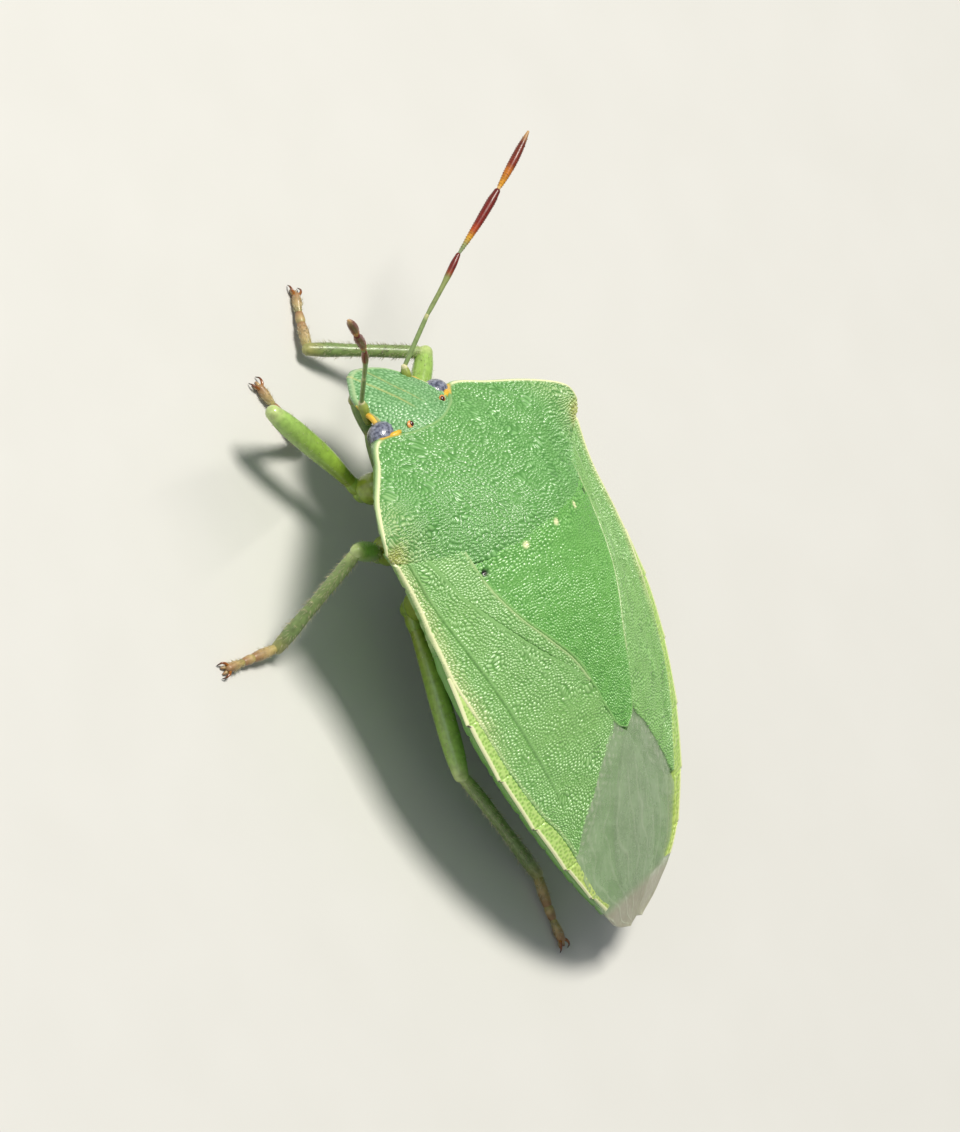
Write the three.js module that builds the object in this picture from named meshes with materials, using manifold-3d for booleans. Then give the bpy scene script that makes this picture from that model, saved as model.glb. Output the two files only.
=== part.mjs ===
// A southern green shield bug, life size, standing still on its six feet.
// Millimetres, +Z up, head toward -Y, the insect's own left toward +X.
// The origin is on the floor, under the middle of the whole model.
import * as THREE from "three";
import { mergeVertices } from "three/addons/utils/BufferGeometryUtils.js";
import Module from "manifold-3d";

const wasm = await Module();
wasm.setup();

// Driving dimensions. The trunk is drawn level, then tilted as a whole.
const trunkPitch = THREE.MathUtils.degToRad(3.72);
const shellThickness = 0.5;
const seam = 0.04;
const bellyEdge = 0.42;
const rimTaper = 0.4;
const limbRadius = 0.25;
const antennaRadius = 0.23;
const eyeRadius = 0.33;
const coxaRadius = 0.42;
const rostrumRadius = 0.22;
const footFlat = 0.12;

// Where the pieces of the back meet, along the length of the insect.
const apexY = -6.38;
const shieldY = -4.62;
const scutellumY = -1.72;
const scutellumTipY = 3.48;
const tailY = 7.86;
const prothoraxEndY = -3.1;
const thoraxEndY = -0.5;

// A smooth curve through [y, value] points that never overshoots them.
function profile(points) {
  const slopes = points.slice(1).map((p, i) => (p[1] - points[i][1]) / (p[0] - points[i][0]));
  const tangents = points.map((p, i) => {
    const before = slopes[Math.max(i - 1, 0)];
    const after = slopes[Math.min(i, slopes.length - 1)];
    return before * after <= 0 ? 0 : (2 * before * after) / (before + after);
  });
  return (y) => {
    const last = points.length - 2;
    let i = points.findIndex((p, k) => k <= last && y < points[k + 1][0]);
    i = i < 0 ? last : i;
    const span = points[i + 1][0] - points[i][0];
    const t = THREE.MathUtils.clamp((y - points[i][0]) / span, 0, 1);
    const rise = points[i + 1][1] - points[i][1];
    const start = tangents[i] * span;
    const end = tangents[i + 1] * span;
    return points[i][1] + t * (start + t * (3 * rise - 2 * start - end + t * (start + end - 2 * rise)));
  };
}

// Height of the back along the midline, of its side rim, and of the belly's keel.
const crown = profile([[-4.8, 3.3], [-4.2, 3.75], [-3, 4.55], [-1.75, 5.06], [0, 5], [2, 4.62],
  [3.48, 4.19], [5.5, 3.3], [7, 2.5], [7.86, 2.0]]);
const rim = profile([[-5, 2.87], [-4.2, 3.42], [-3.4, 3.82], [-2.7, 3.7], [-1.6, 3.6], [0, 3.52],
  [1.6, 3.4], [4.26, 3.12], [6.56, 2.62], [7.86, 1.98]]);
const keel = profile([[-5, 1.7], [-4.2, 1.5], [-3.5, 1.2], [-2.4, 1.05], [0, 0.96], [3, 0.98], [5, 1.22],
  [6.8, 1.55], [7.5, 1.66]]);

// Half width of the whole back, of the scutellum, and of the leathery part of the wings.
const halfWidth = profile([[-5, 1.55], [-4.62, 2.4], [-3.94, 3.68], [-3.46, 4.24], [-3.12, 4.32],
  [-2.7, 4.12], [-1.6, 4], [0, 4.1], [1.32, 4.08], [2.82, 3.8], [4.26, 3.3], [5.56, 2.66], [6.56, 1.98],
  [7.3, 1.25], [7.86, 0.3]]);
const scutellumHalf = profile([[-1.75, 2.5], [-0.96, 2.26], [-0.25, 2], [0.61, 1.52],
  [1.53, 0.97], [2.66, 0.62], [3.3, 0.33], [3.48, 0.1]]);

// Height of the back at (x, y): a soft roof between the crown and the rim.
function upper(x, y) {
  const u = Math.min(Math.abs(x) / halfWidth(y), 1);
  return crown(y) + (rim(y) - crown(y)) * u * u * (2 - u);
}

// Height of the underside: a round keel with flanks that flare out to the rim.
function lower(x, y) {
  const u = Math.min(Math.abs(x) / halfWidth(y), 1);
  const flare = y < thoraxEndY ? 2.2 : 1.5;
  const edge = rim(y) - bellyEdge;
  return edge - (edge - keel(y)) * (1 - u * u) ** flare;
}

const headCrown = profile([[-6.4, 1.72], [-5.9, 2.3], [-4.9, 3.28], [-4.6, 3.42]]);
const headHalf = profile([[-6.38, 0.1], [-6.31, 0.28], [-6.17, 0.55], [-5.98, 0.8], [-5.75, 0.95],
  [-5.45, 1.03], [-5.1, 1.2], [-4.6, 1.22]]);
const throat = profile([[-6.4, 1.66], [-6.1, 1.67], [-5.7, 1.7], [-5.2, 1.74], [-4.6, 1.7]]);
const headTop = (x, y) => headCrown(y) - 0.2 * x * x;

// Underside of the head: it hangs to the throat and rises to a thin edge at each side.
function headBottom(x, y) {
  const u = Math.min(Math.abs(x) / headHalf(y), 1);
  return throat(y) + Math.max(headTop(x, y) - 0.25 - throat(y), 0) * u ** 0.8;
}

// A mesh from vertices and triangles.
function closedMesh(vertices, triangles) {
  const geometry = new THREE.BufferGeometry();
  geometry.setAttribute("position", new THREE.Float32BufferAttribute(vertices.flat(), 3));
  geometry.setIndex(triangles.flat());
  return geometry;
}

// A plate over the plan between two curves, with its own top and bottom surface.
function plate(near, far, along, across, top, bottom, grow = 0) {
  const vertices = [];
  const triangles = [];
  const stride = across + 1;
  const layer = (along + 1) * stride;
  for (const [height, sign] of [[top, 1], [bottom, -1]]) {
    for (let i = 0; i <= along; i++) {
      const a = near(i / along);
      const b = far(i / along);
      for (let j = 0; j <= across; j++) {
        const x = THREE.MathUtils.lerp(a[0], b[0], j / across);
        const y = THREE.MathUtils.lerp(a[1], b[1], j / across);
        vertices.push([x, y, height(x, y) + sign * grow]);
      }
    }
  }
  const quad = (a, b, c, d) => triangles.push([a, b, c], [a, c, d]);
  for (let i = 0; i < along; i++) {
    for (let j = 0; j < across; j++) {
      const k = i * stride + j;
      quad(k, k + 1, k + stride + 1, k + stride);
      quad(layer + k, layer + k + stride, layer + k + stride + 1, layer + k + 1);
    }
  }
  const ring = [];
  for (let j = 0; j < across; j++) ring.push(j);
  for (let i = 0; i < along; i++) ring.push(i * stride + across);
  for (let j = across; j > 0; j--) ring.push(along * stride + j);
  for (let i = along; i > 0; i--) ring.push(i * stride);
  ring.forEach((k, n) => {
    const next = ring[(n + 1) % ring.length];
    quad(next, k, k + layer, next + layer);
  });
  return outward(closedMesh(vertices, triangles));
}

// Turns a closed mesh inside out where its enclosed volume comes out negative.
function outward(geometry) {
  const p = geometry.attributes.position;
  const index = geometry.index.array;
  const corner = [new THREE.Vector3(), new THREE.Vector3(), new THREE.Vector3()];
  let volume = 0;
  for (let i = 0; i < index.length; i += 3) {
    corner.forEach((v, k) => v.fromBufferAttribute(p, index[i + k]));
    volume += corner[0].dot(corner[1].clone().cross(corner[2]));
  }
  if (volume < 0) geometry.setIndex(Array.from(index).reverse());
  return geometry;
}

// A round limb through centre points, with a radius at each and domed ends.
function limb(points, radii, sides = 10, grow = 0) {
  const path = points.map((p) => new THREE.Vector3(...p));
  const tangent = path.map((p, i) => {
    const from = path[Math.max(i - 1, 0)];
    const to = path[Math.min(i + 1, path.length - 1)];
    return to.clone().sub(from).normalize();
  });
  const side = new THREE.Vector3(0, 0, 1).cross(tangent[0]).normalize();
  const vertices = [];
  const triangles = [];
  const addRing = (centre, direction, radius) => {
    side.addScaledVector(direction, -side.dot(direction)).normalize();
    const up = direction.clone().cross(side);
    for (let k = 0; k < sides; k++) {
      const angle = (2 * Math.PI * k) / sides;
      const spoke = side.clone().multiplyScalar(Math.cos(angle)).addScaledVector(up, Math.sin(angle));
      vertices.push(centre.clone().addScaledVector(spoke, radius).toArray());
    }
  };
  const last = path.length - 1;
  const dome = 0.55;
  const first = radii[0] + grow;
  const final = radii[last] + grow;
  const start = path[0].clone().addScaledVector(tangent[0], -first * dome);
  const end = path[last].clone().addScaledVector(tangent[last], final * dome);
  addRing(start, tangent[0], first * 0.6);
  path.forEach((p, i) => addRing(p, tangent[i], radii[i] + grow));
  addRing(end, tangent[last], final * 0.6);
  const rings = path.length + 2;
  for (let i = 0; i < rings - 1; i++) {
    for (let k = 0; k < sides; k++) {
      const a = i * sides + k;
      const b = i * sides + ((k + 1) % sides);
      triangles.push([a, b, b + sides], [a, b + sides, a + sides]);
    }
  }
  for (let k = 1; k < sides - 1; k++) {
    const top = (rings - 1) * sides;
    triangles.push([0, k + 1, k], [top, top + k, top + k + 1]);
  }
  return outward(closedMesh(vertices, triangles));
}

function ball(centre, radii, detail = 12, grow = 0) {
  const geometry = new THREE.SphereGeometry(1, detail, Math.round(detail * 0.6));
  geometry.scale(...radii.map((r) => r + grow));
  return geometry.translate(...centre);
}

function toSolid(geometry) {
  const bare = geometry.clone();
  bare.deleteAttribute("normal");
  bare.deleteAttribute("uv");
  const merged = mergeVertices(bare, 1e-5);
  return new wasm.Manifold(new wasm.Mesh({
    numProp: 3,
    vertProperties: Float32Array.from(merged.attributes.position.array),
    triVerts: Uint32Array.from(merged.index.array),
  }));
}

// Cuts the neighbours, each already grown by the seam, out of a piece, and keeps its main body.
function carve(piece, neighbours) {
  let solid = toSolid(piece);
  for (const neighbour of neighbours) solid = solid.subtract(toSolid(neighbour));
  const bodies = solid.decompose().sort((a, b) => b.volume() - a.volume());
  const mesh = bodies[0].getMesh();
  const geometry = new THREE.BufferGeometry();
  geometry.setAttribute("position", new THREE.Float32BufferAttribute(mesh.vertProperties, 3));
  geometry.setIndex(Array.from(mesh.triVerts));
  return geometry;
}

// The finishes, one for each kind of surface.
const finish = {
  shell: { color: 0x6fae5a, roughness: 0.55 },
  scutellum: { color: 0x5aa85c, roughness: 0.55 },
  corium: { color: 0x86bb74, roughness: 0.6 },
  membrane: { color: 0x9db59a, roughness: 0.25 },
  rim: { color: 0xb9c86a, roughness: 0.5 },
  belly: { color: 0x5f9a48, roughness: 0.5 },
  eye: { color: 0x6f7f8c, roughness: 0.2 },
  femur: { color: 0x93bf4d, roughness: 0.35 },
  tibia: { color: 0x84a468, roughness: 0.5 },
  tarsus: { color: 0xa98f6c, roughness: 0.6 },
  feeler: { color: 0x86a552, roughness: 0.5 },
  feelerDark: { color: 0x7a3220, roughness: 0.5 },
};

const bug = new THREE.Group();
const trunk = new THREE.Group();
trunk.rotation.x = -trunkPitch;
bug.add(trunk);

function add(parent, name, geometry, look) {
  const mesh = new THREE.Mesh(geometry, new THREE.MeshStandardMaterial(finish[look]));
  mesh.name = name;
  parent.add(mesh);
}

// A point of the level trunk, as it stands once the trunk is tilted.
const xAxis = new THREE.Vector3(1, 0, 0);
const tilted = (p) => new THREE.Vector3(...p).applyAxisAngle(xAxis, -trunkPitch).toArray();

const sides = [["left", 1], ["right", -1]];

// A plan curve through a few points, mirrored for the right side.
function plan(points, sign = 1) {
  const curve = new THREE.SplineCurve(points.map((p) => new THREE.Vector2(p[0] * sign, p[1])));
  return (t) => curve.getPointAt(t).toArray();
}

// A plan curve through a half outline and its mirror image, from left to right.
function bothSides(points) {
  const mirrored = points.slice(0, -1).reverse().map(([x, y]) => [-x, y]);
  return plan([...points, ...mirrored]);
}

// The surface at a depth under the back, which thins toward the rim.
function under(depth) {
  return (x, y) => {
    const u = Math.min(Math.abs(x) / halfWidth(y), 1);
    return upper(x, y) - depth * (1 - rimTaper * u ** 6);
  };
}

// Head and eyes.
const eyeAt = (sign) => [1.3 * sign, -5.12, 2.78];
const eyeShape = (sign, grow = 0) => ball(eyeAt(sign), [eyeRadius, eyeRadius, eyeRadius], 12, grow);
const grownEyes = sides.map(([, sign]) => eyeShape(sign, seam));
const headRear = bothSides([[1.22, -4.98], [0.9, -4.86], [0.5, -4.72], [0, -4.68]]);
const headFront = bothSides([[1.2, -5.12], [1.03, -5.45], [0.95, -5.75], [0.8, -5.98], [0.55, -6.17],
  [0.28, -6.31], [0, apexY]]);
const headShape = (grow) => plate(headRear, headFront, 14, 6, headTop, headBottom, grow);
add(trunk, "head", carve(headShape(0), grownEyes), "shell");
for (const [side, sign] of sides) add(trunk, `eye_${side}`, eyeShape(sign), "eye");

// The first thorax segment's shield, which carries the wide shoulders.
const shieldFront = bothSides([[4.32, -3.1], [4.22, -3.44], [3.7, -3.94], [2.45, -4.62],
  [1.57, -4.96], [0.75, -4.7], [0, shieldY]]);
const shieldRear = bothSides([[4.2, -2.9], [3.9, -2.72], [2.85, -2.24], [2.3, -1.88], [1.7, scutellumY],
  [0, scutellumY]]);
const shield = plate(shieldFront, shieldRear, 22, 5, upper, under(shellThickness));
add(trunk, "pronotum", carve(shield, grownEyes), "shell");

// The scutellum is a long rounded triangle between the wings.
const scutellumFrom = scutellumY + seam;
const scutellumSpan = scutellumTipY - scutellumFrom;
const scutellumEdge = (sign) => (t) => {
  const y = scutellumFrom + scutellumSpan * t;
  return [sign * (scutellumHalf(y) - seam / 2), y];
};
add(trunk, "scutellum",
  plate(scutellumEdge(-1), scutellumEdge(1), 10, 5, upper, under(shellThickness)), "scutellum");

// Each fore wing: clavus beside the scutellum, then corium, then the clear membrane.
const clavusOuter = [[3.2, -2.36], [2.92, -1.3], [2.5, -0.43], [1.86, 0.63], [1.34, 1.34], [0.98, 1.86]];
const clavusInner = [[2.58, -1.98], [2.4, -1.16], [2.08, -0.25], [1.6, 0.61], [1.12, 1.4], [0.92, 1.76]];
const coriumInner = [[3.28, -2.4], [3, -1.3], [2.58, -0.41], [1.94, 0.67], [1.2, 1.62], [0.85, 2.2],
  [0.66, 2.8], [0.52, 3.14], [1.04, 3.86], [1.56, 4.53], [1.95, 5], [2.2, 5.4]];
const coriumOuter = [[4.02, -2.72], [3.94, -1.6], [3.97, -0.87], [4, 0], [3.79, 1.32], [3.51, 2.61],
  [3.04, 3.96], [2.61, 4.71], [2.3, 5.42]];
const membraneOuter = [[0.5, 3.24], [1, 3.94], [1.52, 4.61], [1.91, 5.08], [2.12, 5.5], [2.16, 5.9],
  [1.8, 6.6], [1.2, 7.25], [0.55, 7.7], [0.2, tailY]];
const membraneInner = [[0.03, 3.58], [0.03, 5.4], [0.03, 7], [0.03, tailY]];
for (const [side, sign] of sides) {
  const wing = (inner, outer, along, across) =>
    plate(plan(inner, sign), plan(outer, sign), along, across, upper, under(shellThickness));
  add(trunk, `clavus_${side}`, wing(clavusInner, clavusOuter, 8, 1), "corium");
  add(trunk, `corium_${side}`, wing(coriumInner, coriumOuter, 14, 4), "corium");
  add(trunk, `membrane_${side}`, wing(membraneInner, membraneOuter, 10, 3), "membrane");
}

// The edge of the abdomen shows outside the folded wings.
for (const [side, sign] of sides) {
  const inner = [[4.03, 0.3], [3.85, 1.32], [3.57, 2.65], [3.1, 4], [2.67, 4.76], [2.36, 5.48],
    [2.22, 5.95], [1.86, 6.64], [1.5, 7]];
  const outer = (t) => {
    const y = 0.3 + (7.04 - 0.3) * t;
    return [sign * halfWidth(y), y];
  };
  const edge = plate(plan(inner, sign), outer, 12, 1, upper, under(shellThickness));
  add(trunk, `connexivum_${side}`, edge, "rim");
}

// The three cores under the shell: front thorax, wing-bearing thorax, abdomen.
function core(from, to, along, across, grow = 0) {
  const edge = (sign) => (t) => {
    const y = THREE.MathUtils.lerp(from - grow, to + grow, t);
    return [sign * (halfWidth(y) - seam + grow), y];
  };
  return plate(edge(-1), edge(1), along, across, under(shellThickness + seam), lower, grow);
}
const grownHead = headShape(seam);
add(trunk, "prothorax", carve(core(-4.6, prothoraxEndY, 5, 14), [...grownEyes, grownHead]), "belly");
add(trunk, "pterothorax", core(prothoraxEndY + seam, thoraxEndY, 6, 16), "belly");
add(trunk, "abdomen", core(thoraxEndY + seam, 7.5, 13, 14), "belly");
const grownTrunk = [core(-4.6, thoraxEndY, 9, 16, seam), core(thoraxEndY, 7.5, 13, 14, seam)];
const grownTrunkTilted = grownTrunk.map((g) => g.clone().rotateX(-trunkPitch));

// The beak lies folded back between the legs.
const beak = [[0, -5.75, 1.42], [0, -4.9, 1.4], [0, -3.9, 1.12], [0, -2.4, 0.72], [0, -1.3, 0.6]];
const beakRadii = [1, 1, 1, 0.95, 0.8].map((share) => share * rostrumRadius);
const bare = limb(beak, beakRadii, 8);
add(trunk, "rostrum", carve(bare, [headShape(seam), ...grownTrunk]), "femur");

// Legs: hip, knee, ankle and toe of each, as they stand on the floor.
const hip = { front: [0.95, -3.85, 1.2], middle: [1.2, -2.45, 1.02], hind: [1.2, -1, 1.08] };
const stance = {
  left_front: {
    hip: "front", thick: 0.27,
    knee: [2.3, -6.48, 1.5], ankle: [0.5, -5.3, 0.33], toe: [0.61, -6.83, 0.16],
  },
  right_front: {
    hip: "front", thick: 0.27,
    knee: [-3.24, -5.41, 1.65], ankle: [-1.27, -6.91, 0.34], toe: [-2.11, -8.01, 0.16],
  },
  left_middle: {
    hip: "middle", thick: 0.25,
    knee: [3.8, -3.1, 2.86], ankle: [4.92, -2.01, 0.37], toe: [6.4, -2.3, 0.16],
  },
  right_middle: {
    hip: "middle", thick: 0.25,
    knee: [-3.8, -3.1, 2.86], ankle: [-4.92, -2.01, 0.37], toe: [-6.4, -2.3, 0.16],
  },
  left_hind: {
    hip: "hind", thick: 0.25,
    knee: [2.98, 2.68, 1.5], ankle: [1.05, 5.87, 0.35], toe: [1.19, 7.48, 0.16],
  },
  right_hind: {
    hip: "hind", thick: 0.25,
    knee: [-3.9, 2, 1.72], ankle: [-2.75, 5.75, 0.35], toe: [-2.75, 7.35, 0.16],
  },
};

const between = (a, b, t) => a.map((v, i) => THREE.MathUtils.lerp(v, b[i], t));

// A foot is flattened where it is near the floor, so that it stands on a flat.
function flattened(geometry) {
  const p = geometry.attributes.position;
  for (let i = 0; i < p.count; i++) {
    if (p.getZ(i) < footFlat) p.setZ(i, 0);
  }
  return geometry;
}

for (const [name, leg] of Object.entries(stance)) {
  const sign = name.startsWith("left") ? 1 : -1;
  const root = hip[leg.hip].map((v, i) => (i === 0 ? v * sign : v));
  const coxa = (grow) => ball(root, [coxaRadius, coxaRadius, coxaRadius], 10, grow);
  add(trunk, `coxa_${name}`, carve(coxa(0), grownTrunk), "femur");
  const start = tilted(root);
  const thigh = [start, between(start, leg.knee, 0.35), between(start, leg.knee, 0.7), leg.knee];
  const femur = (grow) => limb(thigh, [limbRadius, limbRadius, leg.thick, leg.thick], 10, grow);
  const shin = (grow) => limb([leg.knee, between(leg.knee, leg.ankle, 0.5), leg.ankle],
    [limbRadius * 0.96, limbRadius * 0.92, limbRadius], 10, grow);
  const foot = limb([leg.ankle, between(leg.ankle, leg.toe, 0.5), leg.toe],
    [limbRadius, limbRadius, limbRadius * 0.96], 10);
  add(bug, `femur_${name}`,
    carve(femur(0), [coxa(seam).rotateX(-trunkPitch), ...grownTrunkTilted]), "femur");
  add(bug, `tibia_${name}`, carve(shin(0), [femur(seam)]), "tibia");
  add(bug, `tarsus_${name}`, carve(flattened(foot), [shin(seam)]), "tarsus");
}

// Feelers: five segments each, thinnest in life but drawn stout here.
const feeler = {
  left: [[1.2, -5.1, 2.62], [1.22, -5.68, 2.9], [1.66, -6.26, 3.74], [2.51, -6.92, 4.86], [3.78, -7.52, 5.95],
    [4.94, -8.09, 6.92]],
  right: [[-1.2, -5.1, 2.62], [-1.22, -5.68, 2.9], [-1.86, -6.41, 3.41], [-2.99, -7.19, 4.12],
    [-4.4, -7.93, 4.89], [-5.7, -8.68, 5.5]],
};
const headAround = [headShape(seam), ...grownEyes].map((g) => g.clone().rotateX(-trunkPitch));
for (const [side, joints] of Object.entries(feeler)) {
  for (let i = 0; i < joints.length - 1; i++) {
    const trim = 0.2 / Math.hypot(...joints[i].map((v, k) => v - joints[i + 1][k]));
    const from = between(joints[i], joints[i + 1], trim);
    const to = between(joints[i], joints[i + 1], 1 - trim);
    const segment = limb([from, between(from, to, 0.5), to], [0.95, 1, 0.9].map((r) => r * antennaRadius), 8);
    const shape = i === 0 ? carve(segment, headAround) : segment;
    add(bug, `antenna_${side}_${i + 1}`, shape, i > 2 ? "feelerDark" : "feeler");
  }
}

// The whole insect is moved so that the origin is under the middle of its outline.
bug.updateMatrixWorld(true);
const middle = new THREE.Box3().setFromObject(bug, true).getCenter(new THREE.Vector3());
bug.position.set(-middle.x, -middle.y, 0);
bug.updateMatrixWorld(true);

export default bug;
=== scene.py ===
# %% [markdown]
# A southern green shield bug, life size, standing on its feet.
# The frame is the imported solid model. It keeps the true places and the collision shapes.
# Every visible surface here is worked out with numpy from a few named sizes in millimetres,
# and stands in for the plain solid of the same part.

# %% Load the frame
import bpy
import numpy as np
from mathutils import Matrix, Vector


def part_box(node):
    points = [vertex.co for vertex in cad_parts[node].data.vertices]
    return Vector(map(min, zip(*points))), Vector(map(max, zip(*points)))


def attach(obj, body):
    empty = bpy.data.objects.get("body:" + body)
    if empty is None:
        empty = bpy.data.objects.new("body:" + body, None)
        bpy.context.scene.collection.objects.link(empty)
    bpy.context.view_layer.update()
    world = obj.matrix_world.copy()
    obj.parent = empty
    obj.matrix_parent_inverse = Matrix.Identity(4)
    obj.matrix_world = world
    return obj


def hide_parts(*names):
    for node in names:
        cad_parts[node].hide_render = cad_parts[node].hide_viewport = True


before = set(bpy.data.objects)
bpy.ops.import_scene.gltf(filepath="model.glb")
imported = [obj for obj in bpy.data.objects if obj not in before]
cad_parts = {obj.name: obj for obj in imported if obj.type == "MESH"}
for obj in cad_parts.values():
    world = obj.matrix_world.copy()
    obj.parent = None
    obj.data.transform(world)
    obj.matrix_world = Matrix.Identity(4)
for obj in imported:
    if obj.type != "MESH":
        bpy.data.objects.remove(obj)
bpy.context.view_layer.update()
print("solid parts in the frame:", len(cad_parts))

# %% [markdown]
# The trunk is easiest to describe lying level, with the head toward -Y and the insect's left
# toward +X. The standing insect holds it tail-low by a few degrees, so each trunk point is
# turned about the X axis at the end. The last shift is read from the left eye's solid, whose
# centre is known in both frames.

# %% Places
MM = 0.001
TRUNK_PITCH = np.radians(3.72)
EYE_CENTRE = np.array([1.3, -5.12, 2.78])
SIDES = (("left", 1), ("right", -1))


def tilt(points):
    """Turns level trunk points about X by the pitch: y' = y cos + z sin, z' = z cos - y sin."""
    points = np.asarray(points, float)
    x, y, z = points[..., 0], points[..., 1], points[..., 2]
    cos, sin = np.cos(TRUNK_PITCH), np.sin(TRUNK_PITCH)
    return np.stack([x, y * cos + z * sin, z * cos - y * sin], -1)


low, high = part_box("eye_left")
SHIFT = (np.array(low) + np.array(high)) / 2 / MM - tilt(EYE_CENTRE)
SHIFT[2] = 0.0


def on_trunk(points):
    """Level trunk points in millimetres to frame points in metres."""
    return (tilt(points) + SHIFT) * MM


def standing(points):
    """Points already in the standing pose, in millimetres, to frame points in metres."""
    return (np.asarray(points, float) + SHIFT) * MM


print("shift of the trunk in the frame, mm:", SHIFT.round(3))

# %% [markdown]
# An outline needs only a few points if the curve between them is smooth. A cubic
# between neighbours, with the harmonic mean of the two slopes at each point, never swings past
# the points, so a hump stays a hump. The same curve serves heights, widths and plan outlines.

# %% Curves
def profile(points):
    """A smooth function of one value through [place, value] pairs, flat beyond the ends."""
    place, value = np.array(points, float).T
    slope = np.diff(value) / np.diff(place)
    before, after = np.r_[slope[0], slope], np.r_[slope, slope[-1]]
    turning = before * after <= 0
    tangent = np.where(turning, 0.0, 2 * before * after / np.where(turning, 1.0, before + after))

    def at(x):
        i = np.clip(np.searchsorted(place, x, side="right") - 1, 0, len(place) - 2)
        span = place[i + 1] - place[i]
        t = np.clip((x - place[i]) / span, 0, 1)
        rise, start, end = value[i + 1] - value[i], tangent[i] * span, tangent[i + 1] * span
        return value[i] + t * (start + t * (3 * rise - 2 * start - end + t * (start + end - 2 * rise)))

    return at


def curve(points, side=1):
    """A plan curve through points: x and y are each a profile of the distance along the points."""
    points = np.array(points, float) * [side, 1]
    length = np.r_[0, np.cumsum(np.hypot(*np.diff(points, axis=0).T))]
    along = [profile(np.stack([length / length[-1], points[:, k]], 1)) for k in (0, 1)]
    return lambda t: np.stack([along[0](t), along[1](t)], -1)


def mirrored(points):
    """A curve through a half outline from the left edge to the midline, and on to the right edge."""
    return curve(points + [[-x, y] for x, y in points[-2::-1]])


print("a profile half way up its rise:", profile([[0, 0], [1, 1]])(0.5))

# %% [markdown]
# Veins, seams, spots and pale rims are masks on the surface, each a number from 0 to 1 at every
# point. They could be painted in an image. As formulas they stay sharp at any size, and the same
# mask can raise the surface and colour it. Three small shapes make nearly all of them.

# %% Masks
def ramp(value, start, end):
    """0 before start, 1 after end, a smooth step 3 t t - 2 t t t between."""
    t = np.clip((value - start) / (end - start), 0, 1)
    return t * t * (3 - 2 * t)


def fade(distance, width):
    """A soft line, 1 where the distance is 0: exp of minus the square of distance over width."""
    return np.exp(-(distance / width) ** 2)


def patch(across, along):
    """A round patch with a flat top: exp of minus the fourth power of the distance to its middle."""
    return np.exp(-(across ** 2 + along ** 2) ** 2)


print("a soft line one width away from its middle:", fade(1.0, 1.0).round(3))

# %% [markdown]
# The back of the insect is one continuous form, a soft roof: highest along the midline and
# sloping to a thin rim. The plates that cover it (pronotum, scutellum, wings) share this form
# and differ only in outline and surface. So the form is written once, as a height over the plan.

# %% The form of the trunk
crown = profile([[-4.8, 3.3], [-4.2, 3.75], [-3, 4.55], [-1.75, 5.06], [0, 5], [2, 4.62],
                 [3.48, 4.19], [5.5, 3.3], [7, 2.5], [7.86, 2.0]])
rim = profile([[-5, 2.87], [-4.2, 3.42], [-3.4, 3.82], [-2.7, 3.7], [-1.6, 3.6], [0, 3.52],
               [1.6, 3.4], [4.26, 3.12], [6.56, 2.62], [7.86, 1.98]])
keel = profile([[-5, 1.7], [-4.2, 1.5], [-3.5, 1.2], [-2.4, 1.05], [0, 0.96], [3, 0.98],
                [5, 1.22], [6.8, 1.55], [7.5, 1.66]])
half_width = profile([[-5, 1.55], [-4.62, 2.4], [-3.94, 3.68], [-3.46, 4.24], [-3.12, 4.32],
                      [-2.7, 4.12], [-1.6, 4], [0, 4.1], [1.32, 4.08], [2.82, 3.8], [4.26, 3.3],
                      [5.56, 2.66], [6.56, 1.98], [7.3, 1.25], [7.86, 0.3]])
THORAX_END, THORAX_FLARE, BELLY_FLARE = -0.5, 2.2, 1.5
BELLY_EDGE, RIM_INSET = 0.27, 0.03


def upper(x, y):
    """Height of the back: the crown, less a drop that grows with the square of x and eases off."""
    u = np.clip(np.abs(x) / half_width(y), 0, 1)
    return crown(y) + (rim(y) - crown(y)) * u * u * (2 - u)


def lower(x, y):
    """Height of the underside: a round keel whose flanks flare out to just under the rim."""
    u = np.clip(np.abs(x) / half_width(y), 0, 1)
    change = ramp(y, THORAX_END - 0.6, THORAX_END + 0.6)
    flare = THORAX_FLARE + (BELLY_FLARE - THORAX_FLARE) * change
    edge = rim(y) - BELLY_EDGE
    return edge - (edge - keel(y)) * (1 - u * u) ** flare


print("height of the back over its keel, mm:", round(float(crown(-1.7) - keel(-1.7)), 2))

# %% [markdown]
# A plate is a closed body. Its top is a fine grid between two plan curves, so that beads less
# than a tenth of a millimetre apart are real shape. The border rolls over, a short skirt goes
# down from it, and long plain faces close the hidden side, which keeps the count low.

# %% Plate makers
# Millimetres between grid lines and of rolled edge, and the share of its x that a skirt keeps.
STEP, ROLL, UNDERCUT = 0.018, 0.04, 0.9
ALL_SIDES = ("near", "far", "start", "end")


def stations(length, step):
    """Values from 0 to 1 along a length: even steps, and three more lines in each rolled edge."""
    close = ROLL * np.array([0.1, 0.35, 0.7]) / length
    return np.unique(np.r_[np.linspace(0, 1, int(length / step) + 2), close, 1 - close])


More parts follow.
